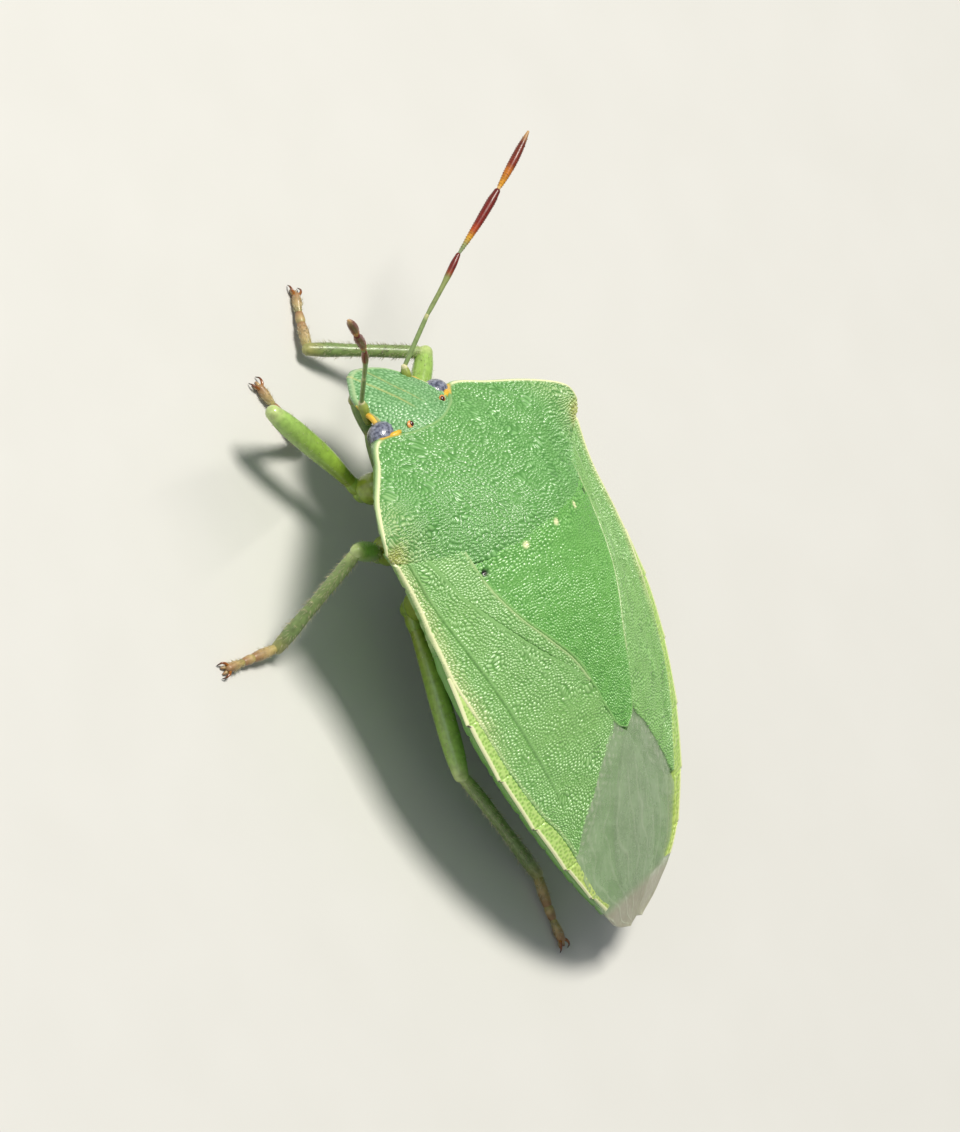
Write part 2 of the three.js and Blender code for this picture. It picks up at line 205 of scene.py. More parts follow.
def plan_grid(near, far, step=STEP):
    """Plan points between two curves, and each point's distance to the four borders."""
    probe = np.linspace(0, 1, 60)
    middle = (near(probe) + far(probe)) / 2
    length = np.hypot(*np.diff(middle, axis=0).T).sum()
    along = stations(length, step)
    a, b = near(along), far(along)
    width = np.hypot(*(b - a).T)
    across = stations(np.percentile(width, 75), step)
    plan = a[:, None] * (1 - across)[None, :, None] + b[:, None] * across[None, :, None]
    edges = {
        "near": width[:, None] * across[None],
        "far": width[:, None] * (1 - across)[None],
        "start": np.broadcast_to((along * length)[:, None], plan.shape[:2]),
        "end": np.broadcast_to(((1 - along) * length)[:, None], plan.shape[:2]),
    }
    return plan[..., 0], plan[..., 1], edges


def rolled(edges, radius=ROLL, sides=ALL_SIDES):
    """Drop of a quarter-round edge: a circle of the radius along each named border."""
    gap = np.clip(np.min([edges[s] for s in sides], axis=0), 0, radius)
    return radius - np.sqrt(radius ** 2 - (radius - gap) ** 2)


def grid_quads(rows, columns, loop=False):
    """Corner numbers of the quads of a grid, joined round in the column direction if looped."""
    index = np.arange(rows * columns).reshape(rows, columns)
    if loop:
        index = np.hstack([index, index[:, :1]])
    corners = [index[:-1, :-1], index[:-1, 1:], index[1:, 1:], index[1:, :-1]]
    return np.stack(corners, -1).reshape(-1, 4)


def border(rows, columns):
    """Corner numbers round the border of a grid, in order."""
    index = np.arange(rows * columns).reshape(rows, columns)
    return np.concatenate([index[0, :-1], index[:-1, -1], index[-1, :0:-1], index[:0:-1, 0]])


def closed_plate(top, depth):
    """The top grid, a skirt of the given depth, and chords that close the hidden side."""
    rows, columns = top.shape[:2]
    ring = border(rows, columns)
    points = top.reshape(-1, 3)
    skirt = points[ring] * [UNDERCUT, 1, 1] - [0, 0, depth]
    base = len(points)
    turn = np.roll(np.arange(len(ring)), -1)
    walls = np.stack([ring, base + np.arange(len(ring)), base + turn, ring[turn]], -1)
    first, right = base + np.arange(columns), base + columns - 1 + np.arange(rows)
    last = base + columns + rows - 2 + np.arange(columns)
    left = np.r_[base, base + len(ring) - np.arange(1, rows)]
    chords = np.stack([left[:-1], left[1:], right[1:], right[:-1]], -1)
    quads = np.vstack([grid_quads(rows, columns), walls, chords])
    return np.vstack([points, skirt]), quads, [first[::-1], last[::-1]]


print("grid step on the plates, mm:", STEP)

# %% [markdown]
# A mesh is filled from whole arrays, because a call for each vertex would take minutes. The sign
# of the enclosed volume tells whether the faces point outward, and turns them all if not.

# %% Into the scene
made = {}


def piece(name, points, quads, caps, material, slot, nodes=(), masks=None):
    """Puts a closed body into the scene, faces outward, smooth, with its masks as attributes."""
    polygons = list(quads) + list(caps)
    fan = [quads[:, [0, k, k + 1]] for k in range(1, quads.shape[1] - 1)]
    fan += [np.stack([np.full(len(cap) - 2, cap[0]), cap[1:-1], cap[2:]], 1) for cap in caps]
    a, b, c = (points - points.mean(0))[np.vstack(fan)].transpose(1, 0, 2)
    volume = np.einsum("ij,ij->i", a, np.cross(b, c)).sum() / 6
    corners = np.concatenate([np.asarray(p)[::-1] if volume < 0 else p for p in polygons])
    sizes = np.array([len(p) for p in polygons])
    mesh = bpy.data.meshes.new(name)
    mesh.vertices.add(len(points))
    mesh.vertices.foreach_set("co", points.astype(np.float32).ravel())
    mesh.loops.add(len(corners))
    mesh.loops.foreach_set("vertex_index", corners.astype(np.int32))
    mesh.polygons.add(len(sizes))
    mesh.polygons.foreach_set("loop_start", np.r_[0, np.cumsum(sizes)[:-1]].astype(np.int32))
    mesh.polygons.foreach_set("use_smooth", np.ones(len(sizes), bool))
    mesh.update(calc_edges=True)
    mesh.validate()
    for key, value in (masks or {}).items():
        full = np.zeros(len(points), np.float32)
        full[:value.size] = np.ravel(value)
        mesh.attributes.new(key, "FLOAT", "POINT").data.foreach_set("value", full)
    mesh.materials.append(material)
    thing = bpy.data.objects.new(name, mesh)
    bpy.context.scene.collection.objects.link(thing)
    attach(thing, "root")
    if nodes:
        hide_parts(*nodes)
    made[name] = int((sizes - 2).sum())
    return thing


print("pieces made so far:", len(made))

# %% [markdown]
# Insect cuticle is a hard skin with a waxy shine. Here its colour is darker green in the pits,
# partly its own tone and partly painted shade, paler on the ridges between them, cream along the
# thin rims. Each vertex carries how much of each it is, as attributes, and the material only
# turns them into colour.

# %% Material helpers
CHITIN_IOR = 1.5


def colour(code):
    """An sRGB hex code as linear red, green, blue and full alpha."""
    value = np.array([int(code[i:i + 2], 16) for i in (1, 3, 5)]) / 255
    linear = np.where(value <= 0.04045, value / 12.92, ((value + 0.055) / 1.055) ** 2.4)
    return (*linear, 1.0)


def per_mm(size):
    """The scale of a pattern on Object coordinates whose repeats are this many millimetres."""
    return 1 / (size * MM)


def fill(tree, node, inputs):
    """Fills inputs of a node, each with a value or with a link from another node's socket."""
    for key, value in inputs.items():
        if isinstance(value, bpy.types.NodeSocket):
            tree.links.new(value, node.inputs[key])
        else:
            node.inputs[key].default_value = value


def add(tree, kind, inputs=None, **settings):
    """Adds a shader node, sets its properties and fills its inputs."""
    node = tree.nodes.new("ShaderNode" + kind)
    for key, value in settings.items():
        setattr(node, key, value)
    fill(tree, node, inputs or {})
    return node


def painted(tree, body, *coats):
    """A body colour under coats. Each coat has a share, a socket or the name of a mask, and a colour."""
    for share, tint in coats:
        if isinstance(share, str):
            share = add(tree, "Attribute", attribute_name=share).outputs["Fac"]
        if isinstance(tint, str):
            tint = colour(tint)
        body = add(tree, "Mix", {0: share, 6: body, 7: tint}, data_type="RGBA").outputs[2]
    return body


def start_material(name):
    """A new material: its tree, its one shader, and Object coordinates."""
    material = bpy.data.materials.new(name)
    material.use_nodes = True
    tree = material.node_tree
    return material, tree, tree.nodes["Principled BSDF"], add(tree, "TexCoord").outputs["Object"]


def cuticle(name, pit, ridge, wash, cream="#e6e9b8", roughness=0.37, coat=0.42):
    """Pitted cuticle: pit and ridge colours by the ridge mask, a patchy wash, then the marks. The darker pit
    colour is partly painted shade.
    """
    material, tree, shader, place = start_material(name)
    patches = add(tree, "TexNoise", {"Vector": place, "Scale": per_mm(1.4), "Detail": 3.0})
    grain = add(tree, "TexNoise", {"Vector": place, "Scale": per_mm(0.05), "Detail": 2.0})
    share = add(tree, "MapRange", {"Value": patches.outputs[0], "From Min": 0.35, "From Max": 0.7,
                                   "To Max": 0.42}).outputs[0]
    # The pit colour is darker partly as the skin's own tone and partly as painted shade in the gaps between
    # beads.
    body = painted(tree, colour(pit), ("ridge", ridge), (share, wash), ("cream", cream),
                   ("gold", "#e3b23c"), ("dark", "#0b0a0c"))
    relief = add(tree, "Bump", {"Height": grain.outputs[0], "Strength": 0.25, "Distance": 0.006 * MM})
    fill(tree, shader, {"Base Color": body, "Normal": relief.outputs[0], "Roughness": roughness,
                        "IOR": CHITIN_IOR, "Coat Weight": coat, "Coat Roughness": 0.2})
    return material


print("scale of a pattern that repeats each millimetre:", per_mm(1))

# %% [markdown]
# The greens differ from plate to plate: the scutellum is the deepest, the leathery wing is
# paler and whiter, and the underside is darker and smoother.

# %% Cuticle finishes
# Waxed hard skin with close beads: a mid green under many small glints.
SHIELD = cuticle("pitted_pronotum_cuticle", "#458136", "#80b86f", "#639b50")
# The same skin with wider pale ridges, which look whitish from afar.
HEAD = cuticle("pitted_head_cuticle", "#457f42", "#96c690", "#72a668")
# Finely thimbled skin: the deepest and most even green.
EMERALD = cuticle("pitted_scutellum_cuticle", "#448734", "#88c36e", "#67a84c")
# Thick wing leather: paler ridges make it look whiter.
LEATHER = cuticle("pitted_wing_leather", "#5b9443", "#9fcb86", "#80b060")
# Thin pigmented edge: yellow-green beside the cream rim.
EDGE = cuticle("abdomen_edge_cuticle", "#8cb856", "#b6d67c", "#bedb74")
# Smooth polished underside: dark, with broad soft highlights.
BELLY = cuticle("smooth_belly_cuticle", "#4f8a2c", "#6ba53f", "#427a26", roughness=0.35, coat=0.4)
print("finishes so far:", len(bpy.data.materials))

# %% [markdown]
# The skin of the back is covered with tiny beads, each a little different. Points scattered one
# to a square give them: near a point is the middle of a bead, and where two points are equally
# near is the gap between beads. Stretched squares make wrinkles, and slow waves bend the rows.

# %% Beads
def waves(x, y, size, seed, count=12):
    """A soft random field about -1 to 1: a sum of sine waves near one length, in all directions."""
    draw = np.random.default_rng(seed)
    angle, phase = draw.uniform(0, 2 * np.pi, (2, count))
    turns = 2 * np.pi / size * draw.uniform(0.6, 1.5, count)
    shape = (slice(None),) + (None,) * np.ndim(x)
    run = np.cos(angle)[shape] * x + np.sin(angle)[shape] * y
    return np.sin(turns[shape] * run + phase[shape]).sum(0) * np.sqrt(2 / count) * 0.6


def hashed(column, row, seed):
    """A repeatable random number from 0 to 1 for each cell: the fraction of a large sine."""
    return np.modf(np.abs(np.sin(column * 127.1 + row * 311.7 + seed * 74.7)) * 43758.5453)[0]


def cells(x, y, spacing, seed, stretch=1.0):
    """Distance to the nearest and next nearest of the points scattered one to a cell, in spacings."""
    u, v = x / (spacing * stretch), y / spacing
    nearest = np.full(u.shape, 9.0)
    second = nearest.copy()
    for across in (-1, 0, 1):
        for along in (-1, 0, 1):
            column, row = np.floor(u) + across, np.floor(v) + along
            du = column + 0.1 + 0.8 * hashed(column, row, seed) - u
            dv = row + 0.1 + 0.8 * hashed(column, row, seed + 1) - v
            distance = np.hypot(du, dv)
            second = np.minimum(second, np.maximum(nearest, distance))
            nearest = np.minimum(nearest, distance)
    return nearest, second


def beaded(x, y, spacing, seed, stretch=1.0, bend=0.0):
    """How high on a bead, 1 at its middle and 0 in the narrow gap before the next bead."""
    bx, by = waves(x, y, 0.9, seed + 5) * bend, waves(x, y, 0.7, seed + 6) * bend
    nearest, second = cells(x + bx, y + by, spacing, seed, stretch)
    return ramp(second - nearest, 0.0, 0.55) * (1.15 - 0.5 * nearest)


def dorsal(name, near, far, decorate, material, slot, nodes, depth=0.22):
    """A plate of the back: its plan grid lifted to the form, with relief and masks. The skirt
    carries on the masks of the border that it hangs from."""
    x, y, edges = plan_grid(near, far)
    relief, masks = decorate(x, y, edges)
    top = np.stack([x, y, upper(x, y) + relief - rolled(edges)], -1)
    points, quads, caps = closed_plate(top, depth)
    ring = border(*x.shape)
    masks = {key: np.r_[value.ravel(), value.ravel()[ring]] for key, value in masks.items()}
    piece(name, on_trunk(points), quads, caps, material, slot, nodes, masks)


def tucked(edges):
    """Drop of a front edge that slides under the plate before it."""
    return 0.06 * ramp(edges["start"], 0.14, 0.05)


# Millimetres from bead to bead.
SHIELD_BEAD, SCUTELLUM_BEAD, SCUTELLUM_WRINKLE, WING_BEAD, HEAD_BEAD = 0.072, 0.06, 0.066, 0.062, 0.06
print("beads in a millimetre of wing:", round(1 / WING_BEAD))

# %% [markdown]
# The pronotum is the wide shield behind the head. Its surface is thrown into fine wavy
# wrinkles that run across it, which come from beads stretched sideways. Two smooth swellings
# lie behind the head, a cream bead runs along each side, and the front corners are yellow.

# %% Pronotum
def shield_surface(x, y, edges):
    """Relief and masks of the shield: stretched beads, less where swelling and rim are smooth."""
    front_gap = edges["near"]
    callus = patch((np.abs(x) - 0.95) / 0.62, (y + 4.36) / 0.17)
    bead = fade(front_gap - 0.045, 0.03) * ramp(np.abs(x), 1.45, 1.7)
    shoulder = ramp(np.abs(x), 3.5, 4.1) * ramp(y, -3.3, -2.95)
    ridge = beaded(x, y, SHIELD_BEAD, 3, stretch=1.45, bend=0.08)
    plain = np.clip(0.3 * callus + bead + ramp(0.1 - front_gap, 0, 0.06), 0, 1)
    ridge = ridge * (1 - plain) + 0.55 * plain
    swell = 0.01 * waves(x, y, 0.8, 11) * (1 - plain)
    front = fade(front_gap - 0.04, 0.018) * ramp(np.abs(x), 1.25, 0.95)
    relief = 0.04 * (ridge - 0.6) + 0.018 * callus + 0.025 * bead + 0.01 * front + swell
    # Painted glints: cream on the ridges toward each side margin stands in for light catching them. The share
    # on the front line is its own pale colour.
    painted_glint_and_pale_front = 0.36 * ridge * ramp(np.abs(x), 2.6, 4.0) + 0.2 * front
    corner = ramp(front_gap, 0.075, 0.025) * ramp(np.abs(x), 1.08, 1.2) * ramp(np.abs(x), 1.6, 1.48)
    gold = np.clip(0.26 * shoulder * (1 - bead) + 0.9 * corner, 0, 1)
    return relief, {"ridge": ridge, "cream": np.clip((1.2 * bead + painted_glint_and_pale_front) * (1 - corner), 0, 1), "gold": gold}


shield_front = mirrored([[4.32, -3.1], [4.22, -3.44], [3.7, -3.94], [2.45, -4.62],
                         [1.58, -5.03], [0.75, -4.78], [0, -4.69]])
shield_rear = mirrored([[4.2, -2.86], [3.9, -2.68], [2.85, -2.18], [2.36, -1.81], [1.7, -1.67],
                        [0, -1.67]])
dorsal("pronotum_shield", shield_front, shield_rear, shield_surface, SHIELD, "shell", ["pronotum"])
print("pronotum faces:", made["pronotum_shield"])

# %% [markdown]
# The scutellum is a long triangle between the wings with a rounded tip. Its beads are rounder
# and closer, like the skin of a fine thimble, and turn into cross wrinkles near its base. A
# black dot marks each front corner, and three pale spots lie along the front edge.

# %% Scutellum
SCUTELLUM_START, SCUTELLUM_END = -1.82, 3.5
scutellum_half = profile([[-1.75, 2.5], [-0.96, 2.26], [-0.25, 2], [0.61, 1.52],
                          [1.53, 0.97], [2.66, 0.62], [3.3, 0.33], [3.48, 0.04]])


def scutellum_edge(side):
    """One long edge as a plan curve: x is the half width and a hair more, y runs rearward."""
    def at(t):
        y = SCUTELLUM_START + (SCUTELLUM_END - SCUTELLUM_START) * t
        return np.stack([side * (scutellum_half(y) + 0.012), y], -1)
    return at


def spot(x, y, at_x, at_y, radius):
    """A round patch at a place and at its mirror place."""
    return patch((np.abs(x) - at_x) / radius, (y - at_y) / radius)


def scutellum_surface(x, y, edges):
    """Relief and masks of the scutellum: beads that change to wrinkles, two dots, pale spots."""
    base = ramp(y, -0.4, -1.6)
    ridge = beaded(x, y, SCUTELLUM_BEAD, 21, bend=0.04) * (1 - base)
    ridge = ridge + beaded(x, y, SCUTELLUM_WRINKLE, 22, stretch=1.4, bend=0.06) * base
    bead = fade(np.minimum(edges["near"], edges["far"]) - 0.035, 0.03)
    dot = spot(x, y, 2.25, -1.5, 0.085)
    pale = spot(x, y, 1.1, -1.53, 0.085) + spot(x, y, 0, -1.55, 0.085)
    ridge = ridge * (1 - bead) + 0.6 * bead
    relief = 0.034 * (ridge - 0.6) + 0.008 * bead - 0.05 * dot + 0.008 * waves(x, y, 0.7, 23)
    return relief - tucked(edges), {"ridge": ridge, "cream": np.clip(0.12 * bead + pale, 0, 1), "dark": dot}


dorsal("scutellum_plate", scutellum_edge(-1), scutellum_edge(1), scutellum_surface, EMERALD,
       "scutellum", ["scutellum"])
print("scutellum faces:", made["scutellum_plate"])

# %% [markdown]
# Each fore wing has a leathery part and a clear tip. The leathery part is two plates: the narrow
# clavus beside the scutellum and the broad corium outside it. Smooth veins cross the beaded
# field, the outer edge is a cream bead, and the strip inside it is yellower, with cream on its
# ridges that is painted glints.

# %% Leathery wings
CLAVUS_OUTER = [[3.3, -2.52], [2.94, -1.3], [2.5, -0.43], [1.86, 0.63], [1.34, 1.34], [0.88, 2.02]]
CLAVUS_INNER = [[2.42, -2.26], [2.38, -1.78], [2.29, -1.16], [1.99, -0.25], [1.52, 0.61],
                [1.04, 1.4], [0.8, 1.96]]
CORIUM_INNER = [[3.26, -2.54], [2.91, -1.3], [2.48, -0.41], [1.84, 0.67], [1.02, 1.72], [0.76, 2.2],
                [0.59, 2.8], [0.45, 3.14], [1.04, 3.86], [1.56, 4.53], [1.95, 5], [2.2, 5.4]]
CORIUM_OUTER = [[4.13, -2.84], [3.99, -1.6], [4.02, -0.87], [4.04, 0], [3.83, 1.32], [3.54, 2.61],
                [3.06, 3.96], [2.62, 4.71], [2.3, 5.42]]
main_vein = profile([[-2.6, 3.74], [-1.34, 3.58], [-0.14, 3.36], [1.05, 3.1], [1.85, 2.92],
                     [3.4, 2.54], [4.9, 2.16]])
fork_vein = profile([[-2.4, 3.3], [-1, 2.8], [0, 2.42], [1, 2.0], [2, 1.62], [3.6, 1.5]])


def corium_surface(x, y, edges):
    """Relief and masks of the corium: beads, two veins with a furrow, and the rim of cream."""
    outer = edges["far"]
    to_vein = np.abs(x) - main_vein(y)
    main = fade(to_vein, 0.03) * ramp(y, 5.0, 3.0)
    furrow = 0.8 * fade(to_vein - 0.05, 0.02) * ramp(y, 5.0, 2.2)
    fork = 0.6 * fade(np.abs(x) - fork_vein(y), 0.05) * ramp(y, 3.4, 2.4)
    band = fade(edges["near"] - 0.06, 0.05) * ramp(y, 2.1, 1.5)
    bead = fade(outer - 0.055, 0.04) * (1 - 0.8 * ramp(y, 0.6, 1.8))
    strip = ramp(outer, 0.5, 0.12) * ramp(y, 3.0, 1.0)
    ridge = beaded(x, y, WING_BEAD, 31, stretch=1.3, bend=0.07)
    smooth = np.clip(main + fork + band + bead, 0, 1)
    ridge = (ridge * (1 - smooth) + 0.5 * smooth) * (1 - 0.9 * furrow)
    relief = 0.034 * (ridge - 0.6) + 0.01 * main - 0.03 * furrow + 0.008 * fork + 0.02 * bead
    relief += 0.011 * waves(x, y, 0.8, 33) * (1 - smooth) - tucked(edges)
    # Cream on the ridges of the strip is painted glints. The rim bead is its own cream, and the strip's gold
    # is its own yellower tone.
    cream = np.clip(bead * 1.1 + 0.4 * strip * ridge, 0, 1)
    return relief, {"ridge": ridge, "cream": cream, "gold": 0.05 * strip * (1 - bead)}


def clavus_surface(x, y, edges):
    """Relief and masks of the clavus: beads with a smooth raised lip on the inner edge."""
    lip = fade(edges["near"] - 0.04, 0.035)
    ridge = beaded(x, y, WING_BEAD, 41, stretch=1.2, bend=0.05) * (1 - lip) + 0.6 * lip
    return 0.03 * (ridge - 0.6) + 0.012 * lip - tucked(edges), {"ridge": ridge, "cream": 0.3 * lip}


for side, sign in SIDES:
    dorsal(f"clavus_plate_{side}", curve(CLAVUS_INNER, sign), curve(CLAVUS_OUTER, sign),
           clavus_surface, LEATHER, "corium", [f"clavus_{side}"])
    dorsal(f"corium_plate_{side}", curve(CORIUM_INNER, sign), curve(CORIUM_OUTER, sign),
           corium_surface, LEATHER, "corium", [f"corium_{side}"])
print("corium faces:", made["corium_plate_left"])

# %% [markdown]
# The edge of the abdomen shows outside the wings as a row of short segments. Each ends in a
# small tooth with a black dot. The outline is the trunk's half width plus a saw tooth.

# %% Edge of the abdomen
EDGE_START, EDGE_END = 0.1, 7.06
SEGMENT_ENDS = [1.32, 2.82, 4.26, 5.56, 6.56]
TOOTH = 0.085
EDGE_INNER = [[4.02, 0.1], [3.81, 1.32], [3.52, 2.65], [3.04, 4], [2.6, 4.76], [2.28, 5.48],
              [2.08, 5.95], [1.72, 6.64], [1.3, 7.02]]


def tooth(y):
    """0 at the start of each segment, rising to 1 at its rear corner, then back at once."""
    ends = np.array([EDGE_START - 0.9] + SEGMENT_ENDS + [EDGE_END + 0.3])
    i = np.clip(np.searchsorted(ends, y) - 1, 0, len(ends) - 2)
    t = (y - ends[i]) / (ends[i + 1] - ends[i])
    return t ** 3 * ramp(1 - t, 0, 0.04)


def edge_outline(side):
    """The outer edge as a plan curve: x is the half width and the tooth, y runs rearward."""
    def at(t):
        y = EDGE_START + (EDGE_END - EDGE_START) * t
        return np.stack([side * (half_width(y) - RIM_INSET + TOOTH * tooth(y)), y], -1)
    return at


def pitted(x, y, spacing, seed, stretch=1.0):
    """How far from the nearest pit, 0 in it and 1 on the ridge."""
    return ramp(cells(x, y, spacing, seed, stretch)[0], 0.1, 0.6)


def edge_surface(x, y, edges):
    """Relief and masks of the edge: pits, a seam and a dot at each segment's end, a cream rim."""
    outer = edges["far"]
    bead = ramp(outer, 0.11, 0.06)
    to_end = np.min([np.abs(y - end + 0.03) for end in SEGMENT_ENDS], axis=0)
    dot = patch(to_end / 0.045, (outer - 0.01) / 0.05)
    ridge = pitted(x, y, 0.09, 51, stretch=1.1)
    relief = 0.015 * (ridge - 0.6) * (1 - bead) - 0.025 * fade(to_end, 0.02) + 0.015 * bead
    gold = 0.14 * ramp(y, 4.5, 6.5) * (1 - bead)
    return relief, {"ridge": ridge, "cream": bead, "dark": dot, "gold": gold}


for side, sign in SIDES:
    dorsal(f"abdomen_edge_{side}", curve(EDGE_INNER, sign), edge_outline(sign), edge_surface, EDGE,
           "rim", [f"connexivum_{side}"], depth=0.12)
print("edge faces:", made["abdomen_edge_left"])

# %% [markdown]
# The clear tips of the fore wings lie over each other, the left on top. They are stiff films
# with a few long veins and many fine creases. Being films, they let the green abdomen show
# through, and turn brown-grey where only the hind wings are below, past the abdomen's end.

# %% Film finish
def film_material():
    """Stiff chitin film: thin, glossy and smoky, so what is below shows, milky where it is creased.
    Its alpha is a cloud, plus a share for the tail and for the creases."""
    material, tree, shader, place = start_material("clear_wing_film")
    tail = add(tree, "Attribute", attribute_name="tail").outputs["Fac"]
    crease = add(tree, "Attribute", attribute_name="crease").outputs["Fac"]
    cloud = add(tree, "TexNoise", {"Vector": place, "Scale": per_mm(0.5), "Detail": 4.0})
    thick = add(tree, "MapRange", {"Value": cloud.outputs[0], "From Min": 0.3, "From Max": 0.75,
                                   "To Min": 0.28, "To Max": 0.5}).outputs[0]
    for share, weight in ((tail, 0.35), (crease, 0.18)):
        thick = add(tree, "Math", {0: share, 1: weight, 2: thick}, operation="MULTIPLY_ADD",
                    use_clamp=True).outputs[0]
    body = painted(tree, colour("#b3cca3"), (tail, "#b6b39a"), (crease, "#c6d2b6"))
    fill(tree, shader, {"Base Color": body, "Alpha": thick, "Roughness": 0.32, "Coat Weight": 0.2})
    return material


FILM = film_material()
print("film finish:", FILM.name)

# %% Clear wing tips
FILM_INNER = [[0.3, 3.34], [-0.05, 3.66], [-0.42, 4.3], [-0.7, 5.1], [-0.82, 5.9], [-0.7, 6.7],
              [-0.32, 7.4], [0.0, 7.78]]
FILM_OUTER = [[0.53, 3.02], [1.13, 3.78], [1.65, 4.44], [2.04, 4.94], [2.24, 5.4], [2.2, 5.95],
              [1.9, 6.62], [1.38, 7.26], [0.8, 7.7], [0.3, 7.9]]
FILM_STEP, FILM_THICKNESS = 0.03, 0.03


def paired_plate(top, bottom):
    """Two grids over one plan, joined round their border."""
    rows, columns = top.shape[:2]
    ring = border(rows, columns)
    base = rows * columns
    turn = np.roll(ring, -1)
    walls = np.stack([ring, base + ring, base + turn, turn], -1)
    under = base + grid_quads(rows, columns)[:, ::-1]
    quads = np.vstack([grid_quads(rows, columns), under, walls])
    return np.vstack([top.reshape(-1, 3), bottom.reshape(-1, 3)]), quads, []


def film(side, sign, lift):
    """A film between two curves: the form of the back, with veins and creases that fan rearward."""
    x, y, edges = plan_grid(curve(FILM_INNER, sign), curve(FILM_OUTER, sign), FILM_STEP)
    across = edges["near"] / (edges["near"] + edges["far"] + 1e-6)
    fan = 6.0 * across + 0.25 * waves(x, y, 1.2, 61)
    veins = fade(fan - np.round(fan), 0.055) * ramp(y, 4.0, 4.6)
    crease = ramp(waves(x * 1.5, y, 0.22, 62 + sign) + 0.5 * waves(x, y, 0.09, 66), 0.2, 1.0)
    crease = crease * (0.25 + 0.75 * ramp(edges["far"], 0.9, 0.15) * ramp(y, 6.3, 4.8))
    relief = 0.008 * crease + 0.01 * veins + 0.012 * waves(x, y, 1.1, 64)
    droop = 0.1 * ramp(y, 7.0, 7.86) + 0.06 * ramp(edges["far"], 0.13, 0.06) * ramp(y, 5.7, 5.3)
    top = upper(x, y) + relief + lift - droop - rolled(edges, 0.02)
    masks = {"crease": np.clip(crease + 0.5 * veins, 0, 1), "tail": ramp(y, 6.95, 7.3)}
    body = paired_plate(np.stack([x, y, top], -1), np.stack([x, y, top - FILM_THICKNESS], -1))
    doubled = {key: np.tile(value.ravel(), 2) for key, value in masks.items()}
    piece(f"wing_film_{side}", on_trunk(body[0]), *body[1:], FILM, "membrane", [f"membrane_{side}"],
          doubled)


film("left", 1, -0.005)
film("right", -1, -0.038)
print("film faces:", made["wing_film_left"])

# %% [markdown]
# Under the plates is the trunk itself, in three closed blocks. Their upper side follows the
# form of the back a little lower down, and the underside is the keel form with the seams
# between the segments, which on the real insect let the abdomen swell.

# %% Trunk under the plates
SUTURES = [1.1, 2.2, 3.3, 4.4, 5.5, 6.35]
BLOCK_STEP, BLOCK_DROP, BLOCK_COLUMNS = 0.04, 0.15, 160


def trunk_block(name, start, end, decorate, node, width):
    """A closed block: y runs along the trunk, x is the half width times a sine from -1 to 1."""
    y = np.linspace(start, end, int((end - start) / BLOCK_STEP))[:, None]
    u = np.sin(np.linspace(-np.pi / 2, np.pi / 2, BLOCK_COLUMNS))[None]
    x = u * (half_width(y) * width - RIM_INSET)
    y = y + 0 * x
    relief, masks = decorate(x, y, np.abs(u) + 0 * y)
    top = upper(x, y) - BLOCK_DROP
    bottom = np.minimum(lower(x, y) + relief, top - 0.02)
    body = paired_plate(np.stack([x, y, top], -1), np.stack([x, y, bottom], -1))
    doubled = {key: np.r_[np.zeros(x.size), value.ravel()] for key, value in masks.items()}
    doubled["ridge"] = np.full(2 * x.size, 0.5)
    piece(name, on_trunk(body[0]), *body[1:], BELLY, "belly", [node], doubled)


def sternites(x, y, u):
    """Belly: bowed seams, and a dark breathing hole on each side of each segment."""
    seam = fade(np.min([np.abs(y - s - 0.5 * u ** 2) for s in SUTURES], axis=0), 0.035)
    hole = np.max([patch((u - 0.8) / 0.018, (y - s - 0.75) / 0.06) for s in SUTURES[:-1]], axis=0)
    relief = 0.05 * seam + 0.03 * waves(x, y, 0.5, 71) * 0.4
    dark = np.clip(0.35 * seam * ramp(u, 1.0, 0.4) + hole, 0, 1)
    return relief, {"dark": dark, "cream": 0.3 * (1 - u) ** 6}


def pleura(x, y, u):
    """Chest: one slanting seam on each flank, and pits outside it."""
    seam = fade(np.abs(y + 2.1 + 0.6 * (1 - u)), 0.04) * ramp(u, 0.3, 0.5)
    pits = pitted(x, y, 0.14, 73)
    relief = 0.05 * seam - 0.02 * (pits - 0.6) * ramp(u, 0.2, 0.5)
    return relief, {"dark": 0.3 * seam, "cream": 0.25 * pits * ramp(u, 0.5, 1.0)}


trunk_block("prothorax_block", -4.62, -3.06, pleura, "prothorax", 0.92)
trunk_block("pterothorax_block", -3.08, -0.44, pleura, "pterothorax", 0.95)
trunk_block("abdomen_block", -0.46, 7.16, sternites, "abdomen", 0.94)
print("abdomen faces:", made["abdomen_block"])

# %% [markdown]
# The head is a flat shovel: a middle lobe between two side lobes, with a groove along each
# seam and fine wrinkles across. The rim is pale. It is made as two grids over one plan outline,
# an upper side and a hollowed lower side, joined by a thin edge.

# %% Head
HEAD_STEP, HEAD_ROLL = 0.02, 0.05
HEAD_FRONT = [[1.2, -5.12], [1.03, -5.45], [0.95, -5.75], [0.8, -5.98], [0.55, -6.17],
              [0.28, -6.31], [0, -6.38]]
HEAD_REAR = [[1.24, -4.9], [0.9, -4.72], [0.5, -4.58], [0, -4.52]]
head_crown = profile([[-6.4, 1.72], [-5.9, 2.3], [-4.9, 3.28], [-4.6, 3.42]])
head_half = profile([[-6.34, 0.1], [-6.31, 0.28], [-6.17, 0.55], [-5.98, 0.8], [-5.75, 0.95],
                     [-5.45, 1.03], [-5.1, 1.2], [-4.6, 1.22]])
throat = profile([[-6.4, 1.66], [-6.1, 1.67], [-5.7, 1.7], [-5.2, 1.74], [-4.6, 1.7]])


def head_top(x, y):
    """Height of the head: its crown less a fifth of the square of x."""
    return head_crown(y) - 0.2 * x * x


